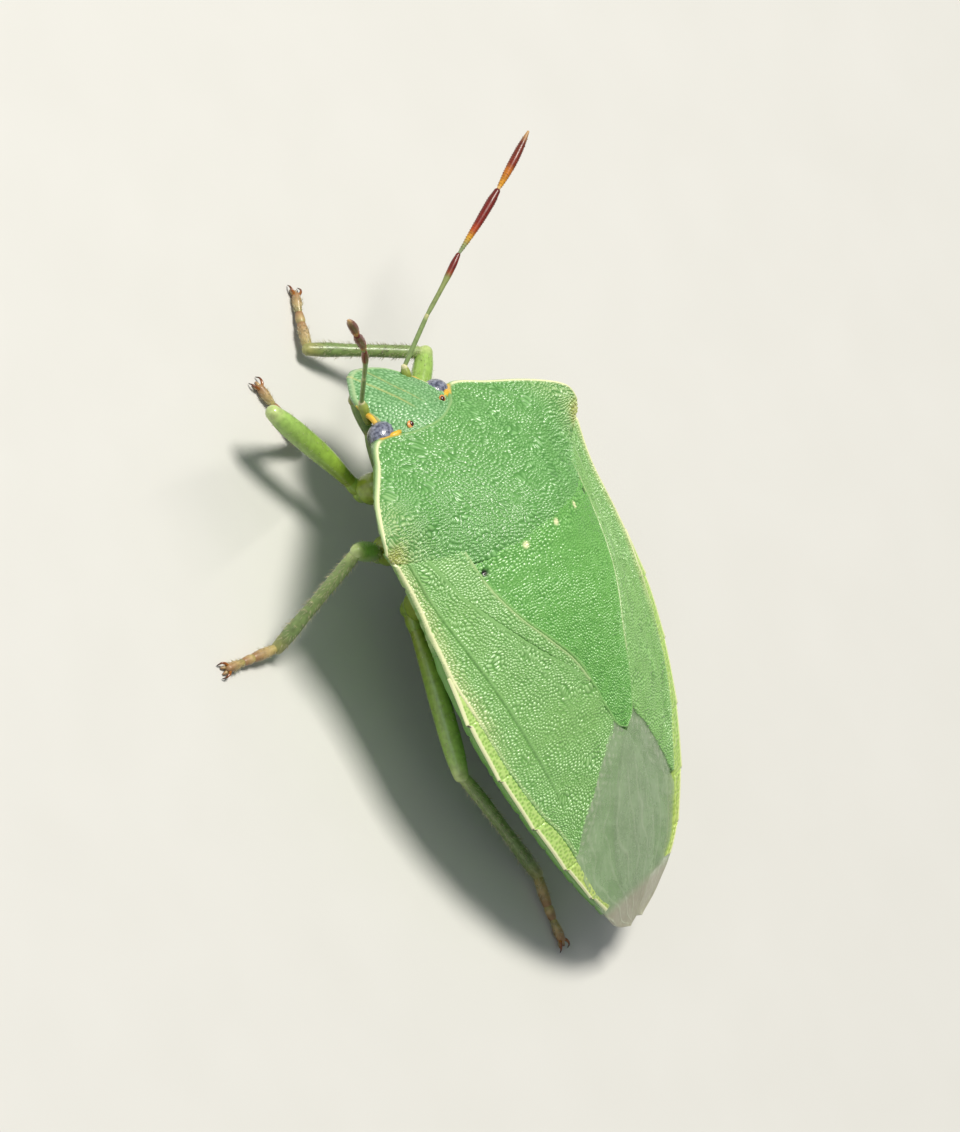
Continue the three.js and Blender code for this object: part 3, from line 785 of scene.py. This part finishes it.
def head_surface(x, y, edges):
    """Relief and masks of the head: stretched beads, two grooves, three soft lobes, a pale rim."""
    front = edges["near"]
    lobe = 0.17 + 0.05 * ramp(y, -5.6, -6.3)
    groove = fade(np.abs(x) - lobe, 0.022) * ramp(y, -5.05, -5.4)
    rim_line = fade(front - 0.045, 0.03)
    ridge = beaded(x, y, HEAD_BEAD, 81, stretch=1.8, bend=0.05)
    smooth = np.clip(rim_line + groove, 0, 1)
    ridge = ridge * (1 - smooth) + 0.6 * smooth
    middle = 0.05 * fade(x, 0.16) * ramp(y, -5.0, -5.5)
    hump = 0.05 * fade(np.abs(x) - 0.55, 0.25) * ramp(y, -5.1, -5.5)
    relief = 0.03 * (ridge - 0.6) - 0.035 * groove + middle + hump + 0.02 * rim_line
    eye_line = ramp(front, 0.1, 0.05) * ramp(y, -5.95, -5.5)
    cream = np.clip(0.3 * rim_line + 0.12 * groove, 0, 1)
    return relief, {"ridge": ridge, "cream": cream, "gold": np.clip(0.3 * eye_line + 0.3 * groove, 0, 1)}


x, y, edges = plan_grid(mirrored(HEAD_FRONT), mirrored(HEAD_REAR), HEAD_STEP)
relief, masks = head_surface(x, y, edges)
head_z = head_top(x, y) + relief - rolled(edges, HEAD_ROLL, ("near", "start", "end"))
head_z -= 0.04 * ramp(edges["far"], 0.14, 0.04)
u = np.clip(np.abs(x) / head_half(y), 0, 1)
chin = throat(y) + np.maximum(head_top(x, y) - 0.1 - throat(y), 0) * u ** 1.5
chin = np.minimum(chin, head_z - 0.03)
chin_plan = (x * 0.93, y + 0.12 * ramp(edges["near"], 0.3, 0))
body = paired_plate(np.stack([x, y, head_z], -1), np.stack([*chin_plan, chin], -1))
under = {"ridge": 0.4, "cream": 0.0, "gold": 0.0}
masks = {key: np.r_[value.ravel(), np.full(x.size, under[key])] for key, value in masks.items()}
piece("head_shell", on_trunk(body[0]), *body[1:], HEAD, "shell", ["head"], masks)
print("head faces:", made["head_shell"])

# %% [markdown]
# Legs, feelers and the lobes round the eyes are tubes: a ring carried along a smooth path while
# its radius changes, with a dome at each end. Colour can then follow the length of the limb.

# %% Tubes
DOME = np.radians([90, 72, 54, 36, 18])
RING_STEP, LEAST_RADIUS = 0.06, 0.0008
# A direction that no limb has, so that the cross product with a limb's direction is never zero.
NEARLY_UP = [0.021, 0.013, 1.0]


def unit(vectors):
    """Vectors divided by their lengths."""
    return vectors / np.linalg.norm(vectors, axis=-1, keepdims=True)


def tube(path, radii, around=16, count=None):
    """A profile carried along a smooth path: rings of the given radii, with domed ends."""
    path, radii = np.array(path, float), np.array(radii, float)
    length = np.r_[0, np.cumsum(np.linalg.norm(np.diff(path, axis=0), axis=1))]
    count = count or max(int(length[-1] / RING_STEP), 10)
    place = length / length[-1]
    t = np.linspace(0, 1, count)
    spine = np.stack([profile(np.stack([place, path[:, k]], 1))(t) for k in range(3)], -1)
    radius = profile(np.stack([np.linspace(0, 1, len(radii)), radii], 1))(t)
    tangent = unit(np.gradient(spine, axis=0))
    first = spine[0] - tangent[0] * (np.sin(DOME) * radius[0])[:, None]
    last = spine[-1] + tangent[-1] * (np.sin(DOME[::-1]) * radius[-1])[:, None]
    spine = np.vstack([first, spine, last])
    more = len(DOME)
    tangent = np.vstack([np.repeat(tangent[:1], more, 0), tangent, np.repeat(tangent[-1:], more, 0)])
    radius = np.r_[np.cos(DOME) * radius[0], radius, np.cos(DOME[::-1]) * radius[-1]]
    radius = np.maximum(radius, LEAST_RADIUS)
    side = unit(np.cross(tangent, NEARLY_UP))
    up = np.cross(side, tangent)
    angle = np.linspace(0, 2 * np.pi, around, endpoint=False)
    spokes = side[:, None] * np.cos(angle)[:, None] + up[:, None] * np.sin(angle)[:, None]
    points = spine[:, None] + spokes * radius[:, None, None]
    rows = len(spine)
    caps = [np.arange(around)[::-1], (rows - 1) * around + np.arange(around)]
    along = np.clip((np.arange(rows) - more) / (count - 1), 0, 1)
    masks = {"along": np.repeat(along, around)}
    return points.reshape(-1, 3), grid_quads(rows, around, loop=True), caps, masks


def banded(name, stops, roughness=0.4, coat=0.2, freckle=0.12):
    """Cuticle of a limb: colours along its length by the along mask, broken up a little."""
    material, tree, shader, place = start_material(name)
    speckle = add(tree, "TexNoise", {"Vector": place, "Scale": per_mm(0.12), "Detail": 3.0})
    along = add(tree, "Attribute", attribute_name="along").outputs["Fac"]
    bands = add(tree, "ValToRGB", {"Fac": along})
    elements = bands.color_ramp.elements
    while len(elements) < len(stops):
        elements.new(0.5)
    for element, (position, code) in zip(elements, stops):
        element.position = position
        element.color = colour(code)
    darker = add(tree, "HueSaturation", {"Color": bands.outputs[0], "Value": 1 - 3 * freckle})
    share = add(tree, "MapRange", {"Value": speckle.outputs[0], "From Min": 0.4,
                                   "From Max": 0.75}).outputs[0]
    body = painted(tree, bands.outputs[0], (share, darker.outputs[0]))
    relief = add(tree, "Bump", {"Height": speckle.outputs[0], "Strength": 0.3, "Distance": 0.01 * MM})
    fill(tree, shader, {"Base Color": body, "Normal": relief.outputs[0], "Roughness": roughness,
                        "IOR": CHITIN_IOR, "Coat Weight": coat, "Coat Roughness": 0.15})
    return material


print("rings to a millimetre of limb:", round(1 / RING_STEP))

# %% [markdown]
# A compound eye is hundreds of tiny lenses over a pale blue-grey base. At this size they read
# as a glossy bead with a fine speckle, darker toward its bottom: a dark rim in part and painted
# shade in part. The two ocelli are single lenses, dark red in a yellow ring.

# %% Eye finishes
def eye_material():
    """Chitin lenses over pale pigment: a grey bead, finely faceted, glossy, darker toward its bottom: a dark
    rim in part and painted shade in part.
    """
    material, tree, shader, place = start_material("faceted_eye_chitin")
    facets = add(tree, "TexVoronoi", {"Vector": place, "Scale": per_mm(0.035)})
    cloud = add(tree, "TexNoise", {"Vector": place, "Scale": per_mm(0.08), "Detail": 4.0})
    share = add(tree, "MapRange", {"Value": cloud.outputs[0], "From Min": 0.35,
                                   "From Max": 0.65}).outputs[0]
    # The eye is darker toward its bottom: a dark rim in part and painted shade in part.
    body = painted(tree, colour("#43475a"), (share, "#8b90a4"), ("dark_rim_and_painted_shade", "#2c2a22"))
    relief = add(tree, "Bump", {"Height": facets.outputs[0], "Strength": 0.5, "Distance": 0.008 * MM})
    fill(tree, shader, {"Base Color": body, "Normal": relief.outputs[0], "Roughness": 0.24,
                        "IOR": 1.55, "Coat Weight": 0.6, "Coat Roughness": 0.08})
    return material


def lens_material():
    """A single clear lens over red pigment: nearly black, very glossy."""
    material, tree, shader, place = start_material("ocellus_lens")
    cloud = add(tree, "TexNoise", {"Vector": place, "Scale": per_mm(0.06)})
    body = painted(tree, colour("#1a0505"), (cloud.outputs[0], "#5a1408"))
    fill(tree, shader, {"Base Color": body, "Roughness": 0.12, "Coat Weight": 0.8})
    return material


EYE = eye_material()
LENS = lens_material()
# Thin skin over yellow fat: a warm yellow lobe before and behind the eye.
COLLAR = banded("yellow_eye_lobe_cuticle", [[0, "#cfc25a"], [0.3, "#eab52e"], [0.8, "#efbf3a"],
                                            [1, "#eec458"]])
# Smooth raised skin round an ocellus: orange with paler patches.
RING = cuticle("ocellus_ring_cuticle", "#d98a40", "#f4d8a8", "#e8b070")
print("finishes so far:", len(bpy.data.materials))

# %% Eyes
EYE_AT, EYE_RADII, EYE_RINGS = [1.18, -4.99, 2.66], [0.39, 0.33, 0.31], 60
OCELLUS_RINGS = 14
LOBES = {
    "rear": ([[0.95, -4.9, 3.02], [1.06, -4.9, 3.01], [1.18, -4.92, 2.97], [1.3, -4.95, 2.88]],
             [0.05, 0.075, 0.075, 0.045]),
    "front": ([[0.95, -5.78, 2.2], [1.0, -5.6, 2.355], [1.03, -5.44, 2.495], [1.09, -5.28, 2.6]],
              [0.02, 0.045, 0.065, 0.065]),
}


def bead(name, centre, radii, rings, material, nodes=()):
    """A closed ellipsoid: latitude and longitude on a grid, with its poles closed by small caps."""
    latitude = np.linspace(-0.5, 0.5, rings) * np.pi * 0.995
    longitude = np.linspace(0, 2 * np.pi, 2 * rings, endpoint=False)
    a, b = np.meshgrid(latitude, longitude, indexing="ij")
    ball = np.stack([np.cos(a) * np.cos(b), np.cos(a) * np.sin(b), np.sin(a)], -1)
    points = (np.array(centre) + ball * radii).reshape(-1, 3)
    n = 2 * rings
    caps = [np.arange(n)[::-1], (rings - 1) * n + np.arange(n)]
    # Darker toward the bottom of the ball: a dark rim in part, painted shade in part.
    masks = {"dark_rim_and_painted_shade": ramp(ball[..., 2], 0.05, -0.55).ravel()}
    piece(name, on_trunk(points), grid_quads(rings, n, loop=True), caps, material, "eye", nodes, masks)


ocellus_z = float(head_top(0.71, -4.91))
for side, sign in SIDES:
    bead(f"compound_eye_{side}", np.array(EYE_AT) * [sign, 1, 1], EYE_RADII, EYE_RINGS, EYE,
         [f"eye_{side}"])
    bead(f"ocellus_ring_{side}", [sign * 0.72, -4.92, ocellus_z - 0.01], [0.1, 0.095, 0.045],
         OCELLUS_RINGS, RING)
    bead(f"ocellus_{side}", [sign * 0.695, -4.925, ocellus_z + 0.015], [0.066, 0.066, 0.045],
         OCELLUS_RINGS, LENS)
    for word, (line, radii) in LOBES.items():
        lobe = tube(np.array(line) * [sign, 1, 1], radii, 14, count=24)
        piece(f"eye_{word}_lobe_{side}", on_trunk(lobe[0]), *lobe[1:3], COLLAR, "shell", masks=lobe[3])
print("eye width, mm:", 2 * EYE_RADII[0])

# %% [markdown]
# Limbs are the same waxy cuticle, smoother and stretched over muscle. The joints are paler where
# the skin is thin, and the feelers change from green to dark red with yellow bases.

# %% Limb finishes
# Polished skin over muscle: bright and wet-looking.
THIGH = banded("glossy_thigh_cuticle", [[0, "#8a9c2c"], [0.4, "#90b247"], [0.92, "#9cc060"], [1, "#b8cc80"]],
               roughness=0.3, coat=0.5, freckle=0.1)
# Duller grey-green skin with a pale knee.
SHIN = banded("furrowed_shin_cuticle", [[0, "#b3c47c"], [0.12, "#889f5f"], [0.85, "#7a9156"], [1, "#a0a060"]],
              roughness=0.42, coat=0.25)
# Tanned skin under short hair: a matt tan.
FOOT = banded("tan_foot_cuticle", [[0, "#a09a55"], [0.5, "#bca472"], [1, "#a07c55"]], roughness=0.45)
# Hard dark hooks: glossy amber to black.
CLAW = banded("claw_chitin", [[0, "#b0742a"], [0.5, "#8a4a1a"], [1, "#120806"]], roughness=0.25, coat=0.5)
# The feeler's segments from the head out: olive base with a cream joint, green stem, browning
# stalk, and two felted ends that are dark red with a yellow base.
SCAPE = banded("green_feeler_cuticle", [[0, "#737f1e"], [0.6, "#8c9a3a"], [0.93, "#98a552"], [1, "#dcd6a4"]])
STALK = banded("brown_feeler_cuticle", [[0, "#8a9c62"], [0.62, "#869052"], [0.7, "#8a3a14"],
                                        [0.78, "#6e1408"]])
STEM = banded("green_stalk_cuticle", [[0, "#96a25e"], [0.1, "#7b9258"], [0.9, "#83985c"], [1, "#c0bc84"]])
CLUB = banded("red_and_yellow_feeler_cuticle", [[0, "#7d8f6c"], [0.15, "#8a9a62"], [0.26, "#d9a520"],
                                                [0.38, "#b4480c"], [0.5, "#7c1206"], [0.95, "#661008"]])
TIP = banded("feeler_tip_cuticle", [[0, "#d8c49a"], [0.1, "#d79a18"], [0.3, "#cf7a10"], [0.45, "#7c2408"],
                                    [0.8, "#66220e"], [1, "#c9a06a"]])
# Fine stiff hair: a pale shimmer on the legs, a brown felt on the feelers' ends.
HAIR = banded("pale_bristle", [[0, "#b9b48a"], [1, "#e6e2c4"]], roughness=0.5)
DARK_HAIR = banded("brown_bristle", [[0, "#7a3020"], [1, "#b06a50"]], roughness=0.5)
print("finishes so far:", len(bpy.data.materials))

# %% [markdown]
# Bristles stand over the limbs, hundreds to a leg. Blender's hair would be lost in an exported
# model, so each is a cone of three sides, and all those of one limb are one mesh. A baked image
# needs a place for each, so each gets a small patch of the map where its root is on the limb.

# %% Bristles
BRISTLE_FACES = np.array([[0, 1, 3], [1, 2, 3], [2, 0, 3], [2, 1, 0]])
BAKE_PATCH = 0.0015 * np.array([[-1, -1], [1, -1], [0, 1], [0, 0.3]])
LEAST_HEIGHT = 0.005


def bristles(bodies, count, length, seed, lean, radius):
    """Three-sided cones: roots spread over the tubes, each leaning from the normal along the tube."""
    draw = np.random.default_rng(seed)
    points, roots = [], []
    for number, (skin, around) in enumerate(bodies):
        grid = skin.reshape(-1, around, 3)
        centre = grid.mean(1)
        row = draw.integers(7, len(grid) - 8, count)
        column = draw.integers(0, around, count)
        share = draw.uniform(0, 1, (count, 1))
        root = grid[row, column] * (1 - share) + grid[row, (column + 1) % around] * share
        normal = unit(root - centre[row])
        along = unit(centre[row + 1] - centre[row - 1])
        side = np.cross(normal, along)
        way = unit(normal + along * lean + side * draw.normal(0, 0.25, (count, 1)))
        end = root + way * length * draw.uniform(0.6, 1.15, (count, 1))
        end[:, 2] = np.maximum(end[:, 2], LEAST_HEIGHT)
        other = np.cross(way, side)
        corners = [root - normal * radius + radius * (np.cos(a) * side + np.sin(a) * other)
                   for a in np.arange(3) * 2 * np.pi / 3]
        points.append(np.stack(corners + [end], 1))
        share_along = (row / len(grid) + number) / len(bodies)
        roots.append(np.stack([share_along, (column + share[:, 0]) / around], 1))
    return np.concatenate(points), np.concatenate(roots)


def bristle_piece(name, bodies, count, length, seed, material, slot, lean=1.0, radius=0.007):
    """All the bristles of one limb as one mesh, with a small bake patch for each at its root."""
    points, roots = bristles(bodies, count, length, seed, lean, radius)
    total = len(points)
    triangles = (np.arange(total)[:, None, None] * 4 + BRISTLE_FACES[None]).reshape(-1, 3)
    masks = {"along": np.tile([0.0, 0, 0, 1], total)}
    thing = piece(name, standing(points.reshape(-1, 3)), triangles, [], material, slot, masks=masks)
    corner_uv = (np.clip(roots, 0.003, 0.997)[:, None] + BAKE_PATCH[None]).reshape(-1, 2)
    order = np.zeros(len(thing.data.loops), np.int32)
    thing.data.loops.foreach_get("vertex_index", order)
    layer = thing.data.uv_layers.new(name="OFBake")
    layer.data.foreach_set("uv", corner_uv[order].astype(np.float32).ravel())


def toward(a, b, t, lift=0.0):
    """The point a share t of the way from a to b, lifted."""
    return list(np.array(a) * (1 - t) + np.array(b) * t + [0, 0, lift])


def limb(name, parts, material, slot, nodes=()):
    """One piece made of one or more tubes given in the standing pose, numbered on from each other."""
    base = np.cumsum([0] + [len(p[0]) for p in parts[:-1]])
    points = np.vstack([p[0] for p in parts])
    quads = np.vstack([p[1] + b for p, b in zip(parts, base)])
    caps = [c + b for p, b in zip(parts, base) for c in p[2]]
    masks = {"along": np.concatenate([p[3]["along"] for p in parts])}
    piece(name, standing(points), quads, caps, material, slot, nodes, masks)


print("triangles in a bristle:", len(BRISTLE_FACES))

# %% [markdown]
# Each leg: the hip sits in its socket, a small ring joint follows, then thigh, shin and a foot of
# three segments with two claws. The foot lies along the floor, so its underside is at height
# zero. The bow of thigh and shin is a few hundredths of a millimetre and keeps them from
# looking like rods.

# %% Legs
# Hip on the level trunk, then knee, ankle and toe as they stand, and the thigh's radius.
LEGS = {
    "left_front": ([0.95, -3.85, 1.2], [2.3, -6.48, 1.5], [0.5, -5.3, 0.33], [0.61, -6.83], 0.255),
    "right_front": ([-0.95, -3.85, 1.2], [-3.24, -5.41, 1.65], [-1.27, -6.91, 0.34], [-2.11, -8.01], 0.25),
    "left_middle": ([1.2, -2.45, 1.02], [3.8, -3.1, 2.86], [4.92, -2.01, 0.37], [6.4, -2.3], 0.23),
    "right_middle": ([-1.2, -2.45, 1.02], [-3.8, -3.1, 2.86], [-4.92, -2.01, 0.37], [-6.4, -2.3], 0.23),
    "left_hind": ([1.2, -1, 1.08], [2.98, 2.68, 1.5], [1.05, 5.87, 0.35], [1.19, 7.48], 0.25),
    "right_hind": ([-1.2, -1, 1.08], [-3.9, 2, 1.72], [-2.75, 5.75, 0.35], [-2.75, 7.35], 0.25),
}
THIGH_SHAPE = np.array([0.58, 0.7, 0.84, 0.95, 1.0, 1.0, 0.94, 0.72])
SHIN_RADII = [0.13, 0.155, 0.15, 0.145, 0.15, 0.17, 0.15]
AROUND, FOOT_AROUND = 22, 16
TOE_HEIGHT = 0.115


def claws(toe, way, across):
    """Two hooks that leave the foot's end side by side and curve down to the floor."""
    hooks = []
    for s in (1, -1):
        start = toe + across * s * 0.05
        path = [start, start + way * 0.1 + across * s * 0.08 + [0, 0, 0.03],
                start + way * 0.2 + across * s * 0.12,
                start + way * 0.26 + across * s * 0.11 - [0, 0, 0.075]]
        hooks.append(tube(path, [0.042, 0.036, 0.024, 0.01], 10, count=14))
    return hooks


def pads(toe, way, across):
    """Two soft pads between the claws."""
    return [tube([toe + way * 0.02 + across * s * 0.05 - [0, 0, 0.03],
                  toe + way * 0.16 + across * s * 0.07 - [0, 0, 0.075]],
                 [0.03, 0.045, 0.03], 10, count=10) for s in (1, -1)]


for number, (leg, (hip, knee, ankle, toe, thick)) in enumerate(LEGS.items()):
    hip = tilt(np.array(hip))
    socket = [tube([hip + [0, 0, 0.4], hip + [0, 0, 0.02]], [0.36, 0.36, 0.24], 24),
              tube([toward(hip, knee, 0.02), toward(hip, knee, 0.12)], [0.16, 0.19, 0.17], 18)]
    for part in socket:
        part[3]["along"] *= 0.3
    limb(f"hip_{leg}", socket, THIGH, "femur", [f"coxa_{leg}"])
    thigh = tube([toward(hip, knee, 0.1), toward(hip, knee, 0.5, 0.05), knee], THIGH_SHAPE * thick, AROUND)
    limb(f"thigh_{leg}", [thigh], THIGH, "femur", [f"femur_{leg}"])
    shin = tube([knee, toward(knee, ankle, 0.12, 0.03), toward(knee, ankle, 0.55, 0.03), ankle],
                SHIN_RADII, AROUND)
    limb(f"shin_{leg}", [shin], SHIN, "tibia", [f"tibia_{leg}"])
    toe = np.array([*toe, TOE_HEIGHT])
    a, b = toward(ankle, toe, 0.46, -0.03), toward(ankle, toe, 0.66, -0.03)
    foot = [tube([ankle, a], [0.1, 0.12, 0.13, 0.11], FOOT_AROUND, count=22),
            tube([a, b], [0.08, 0.115, 0.1], FOOT_AROUND, count=14),
            tube([b, toe], [0.07, 0.09, 0.115, 0.1], FOOT_AROUND, count=20)]
    way = unit((toe - ankle) * [1, 1, 0])
    across = np.array([-way[1], way[0], 0])
    limb(f"foot_{leg}", foot + pads(toe, way, across), FOOT, "tarsus", [f"tarsus_{leg}"])
    limb(f"claws_{leg}", claws(toe, way, across), CLAW, "tarsus")
    ends = [(part[0], FOOT_AROUND) for part in foot[::2]]
    bristle_piece(f"shin_bristles_{leg}", [(shin[0], AROUND)], 420, 0.13, 100 + number, HAIR, "tibia")
    bristle_piece(f"thigh_bristles_{leg}", [(thigh[0], AROUND)], 110, 0.11, 200 + number, HAIR, "femur")
    bristle_piece(f"foot_bristles_{leg}", ends, 90, 0.1, 300 + number, HAIR, "tarsus")
print("thigh faces:", made["thigh_left_front"])

# %% [markdown]
# Each feeler has five segments: a thick green base, two thin stalks and two thicker, felted,
# dark red end segments with pale bases. They narrow at every joint, which is where they bend.

# %% Feelers
FEELERS = {
    "left": [[1.03, -5.67, 2.83], [1.61, -6.26, 3.74], [2.51, -6.92, 4.86], [3.78, -7.52, 5.95],
             [4.94, -8.09, 6.92]],
    "right": [[-0.97, -5.68, 2.77], [-1.82, -6.41, 3.41], [-2.99, -7.19, 4.12], [-4.4, -7.93, 4.89],
              [-5.7, -8.68, 5.5]],
}
SEGMENTS = [([0.1, 0.115, 0.118, 0.115, 0.075], SCAPE, "feeler"),
            ([0.048, 0.056, 0.056, 0.056, 0.056, 0.05], STEM, "feeler"),
            ([0.045, 0.056, 0.056, 0.06, 0.078, 0.082, 0.055], STALK, "feeler"),
            ([0.03, 0.055, 0.075, 0.092, 0.102, 0.104, 0.075], CLUB, "feeler_dark"),
            ([0.035, 0.068, 0.09, 0.098, 0.092, 0.07, 0.03], TIP, "feeler_dark")]
for number, (side, sign) in enumerate(SIDES):
    start = tilt(np.array([sign * 0.93, -5.36, 2.3]))
    felt = []
    for k, (radii, material, slot_name) in enumerate(SEGMENTS):
        end = FEELERS[side][k]
        body = tube([start, toward(start, end, 0.5, 0.03 if k > 1 else 0.0), end], radii)
        limb(f"feeler_{side}_{k + 1}", [body], material, slot_name, [f"antenna_{side}_{k + 1}"])
        if slot_name == "feeler_dark":
            felt.append((body[0], 16))
        start = end
    bristle_piece(f"feeler_felt_{side}", felt, 900, 0.035, 400 + number, DARK_HAIR, "feeler_dark",
                  lean=1.4, radius=0.0035)
print("feeler faces:", made["feeler_left_4"])

# %% [markdown]
# The beak folds back under the head and chest between the hips. It is a soft four-part sheath
# around the piercing bristles, and only its front end would show from the side.

# %% Beak
BEAK = [[0, -5.72, 1.46], [0, -4.9, 1.4], [0, -3.9, 1.12], [0, -2.4, 0.74], [0, -1.3, 0.62]]
joints = tilt(np.array(BEAK))
root = tilt(np.array([0, -5.86, 1.7]))
sheath = [tube(joints[k:k + 2], np.array([0.13, 0.16, 0.15, 0.12]) * (1 - 0.12 * k)) for k in range(4)]
sheath.append(tube([root, toward(root, joints[0], 0.5), joints[0]], [0.12, 0.17, 0.15]))
limb("beak_sheath", sheath, SHIN, "femur", ["rostrum"])
print("beak faces:", made["beak_sheath"])

# %% [markdown]
# The floor is a plain pale sheet, which gives the insect a place to stand. It is part of the
# stage and not of the object.

# %% Floor
FLOOR_HALF = 0.6


def floor_material():
    """Matt white board: an even pale face with a very faint grain."""
    material, tree, shader, place = start_material("matt_white_board")
    grain = add(tree, "TexNoise", {"Vector": place, "Scale": per_mm(3.0)})
    body = painted(tree, colour("#cfcfcb"), (grain.outputs[0], "#d4d4d1"))
    fill(tree, shader, {"Base Color": body, "Roughness": 0.9})
    return material


floor_mesh = bpy.data.meshes.new("floor")
corners = [(x * FLOOR_HALF, y * FLOOR_HALF, 0) for x, y in ((-1, -1), (1, -1), (1, 1), (-1, 1))]
floor_mesh.from_pydata(corners, [], [(0, 1, 2, 3)])
floor_mesh.materials.append(floor_material())
floor = bpy.data.objects.new("floor", floor_mesh)
bpy.context.scene.collection.objects.link(floor)
print("floor side, m:", 2 * FLOOR_HALF)

# %% [markdown]
# A true portrait of so small a thing is taken from far away with a long lens. The camera's
# three axes come from the viewing angle: 79 degrees round and 40 degrees up, rolled on its side.

# %% Camera
PHOTO_HEIGHT, SENSOR, FOCAL_PIXELS, DISTANCE = 1132, 36.0, 10986.8, 0.25
CENTRE_RIGHT, CENTRE_UP = 60.31, 71.65
right = np.array([-0.5003, 0.4966, 0.7093])
down = np.array([0.4201, 0.8555, -0.3027])
backward = np.array([0.7571, -0.1465, 0.6367])
aim = -backward + right * (CENTRE_RIGHT / FOCAL_PIXELS) - down * (CENTRE_UP / FOCAL_PIXELS)
z_axis = unit(-aim)
x_axis = unit(np.cross(-down, z_axis))
y_axis = np.cross(z_axis, x_axis)
position = np.array([0, -0.0018, -0.0269]) * MM + SHIFT * MM + DISTANCE * backward
lens = bpy.data.cameras.new("camera")
lens.lens = FOCAL_PIXELS * SENSOR / PHOTO_HEIGHT
lens.sensor_width = SENSOR
lens.clip_start = 0.01
camera = bpy.data.objects.new("camera", lens)
turn = Matrix([[*row] for row in np.stack([x_axis, y_axis, z_axis], 1)])
camera.matrix_world = Matrix.Translation(Vector(position)) @ turn.to_4x4()
bpy.context.scene.collection.objects.link(camera)
bpy.context.scene.camera = camera
print("lens, mm:", round(lens.lens, 1))

# %% [markdown]
# Two soft lamps and a pale surround are enough. The main one is high above and ahead of the
# insect, so light rakes over the back and each bead catches a glint. The weak one, beside the
# camera, opens the shadow under the near edge.

# %% Light
LOOK_AT = Vector((0, 0, 0.003))
ROOM_LIGHT = 0.3


def lamp(name, place, size, power, tint):
    """A square soft lamp that faces the insect."""
    light = bpy.data.lights.new(name, "AREA")
    light.size = size
    light.energy = power
    light.color = colour(tint)[:3]
    thing = bpy.data.objects.new(name, light)
    thing.location = place
    thing.rotation_euler = (LOOK_AT - Vector(place)).to_track_quat("-Z", "Y").to_euler()
    bpy.context.scene.collection.objects.link(thing)


lamp("main_lamp", (0.0, -0.1, 0.25), 0.08, 0.86, "#fffaf0")
lamp("side_lamp", (0.2, -0.18, 0.1), 0.16, 0.08, "#eef4ff")
world = bpy.data.worlds.new("pale_room")
world.use_nodes = True
background = world.node_tree.nodes["Background"]
background.inputs[0].default_value = colour("#e8edf2")
background.inputs[1].default_value = ROOM_LIGHT
bpy.context.scene.world = world
bpy.context.scene.view_settings.view_transform = "Standard"
print("lamps:", len(bpy.data.lights))

# %% [markdown]
# At the end the count of triangles and the largest pieces are printed.

# %% Sizes and finish
print("triangles:", sum(made.values()))
print("largest pieces:", sorted(made.items(), key=lambda item: -item[1])[:5])
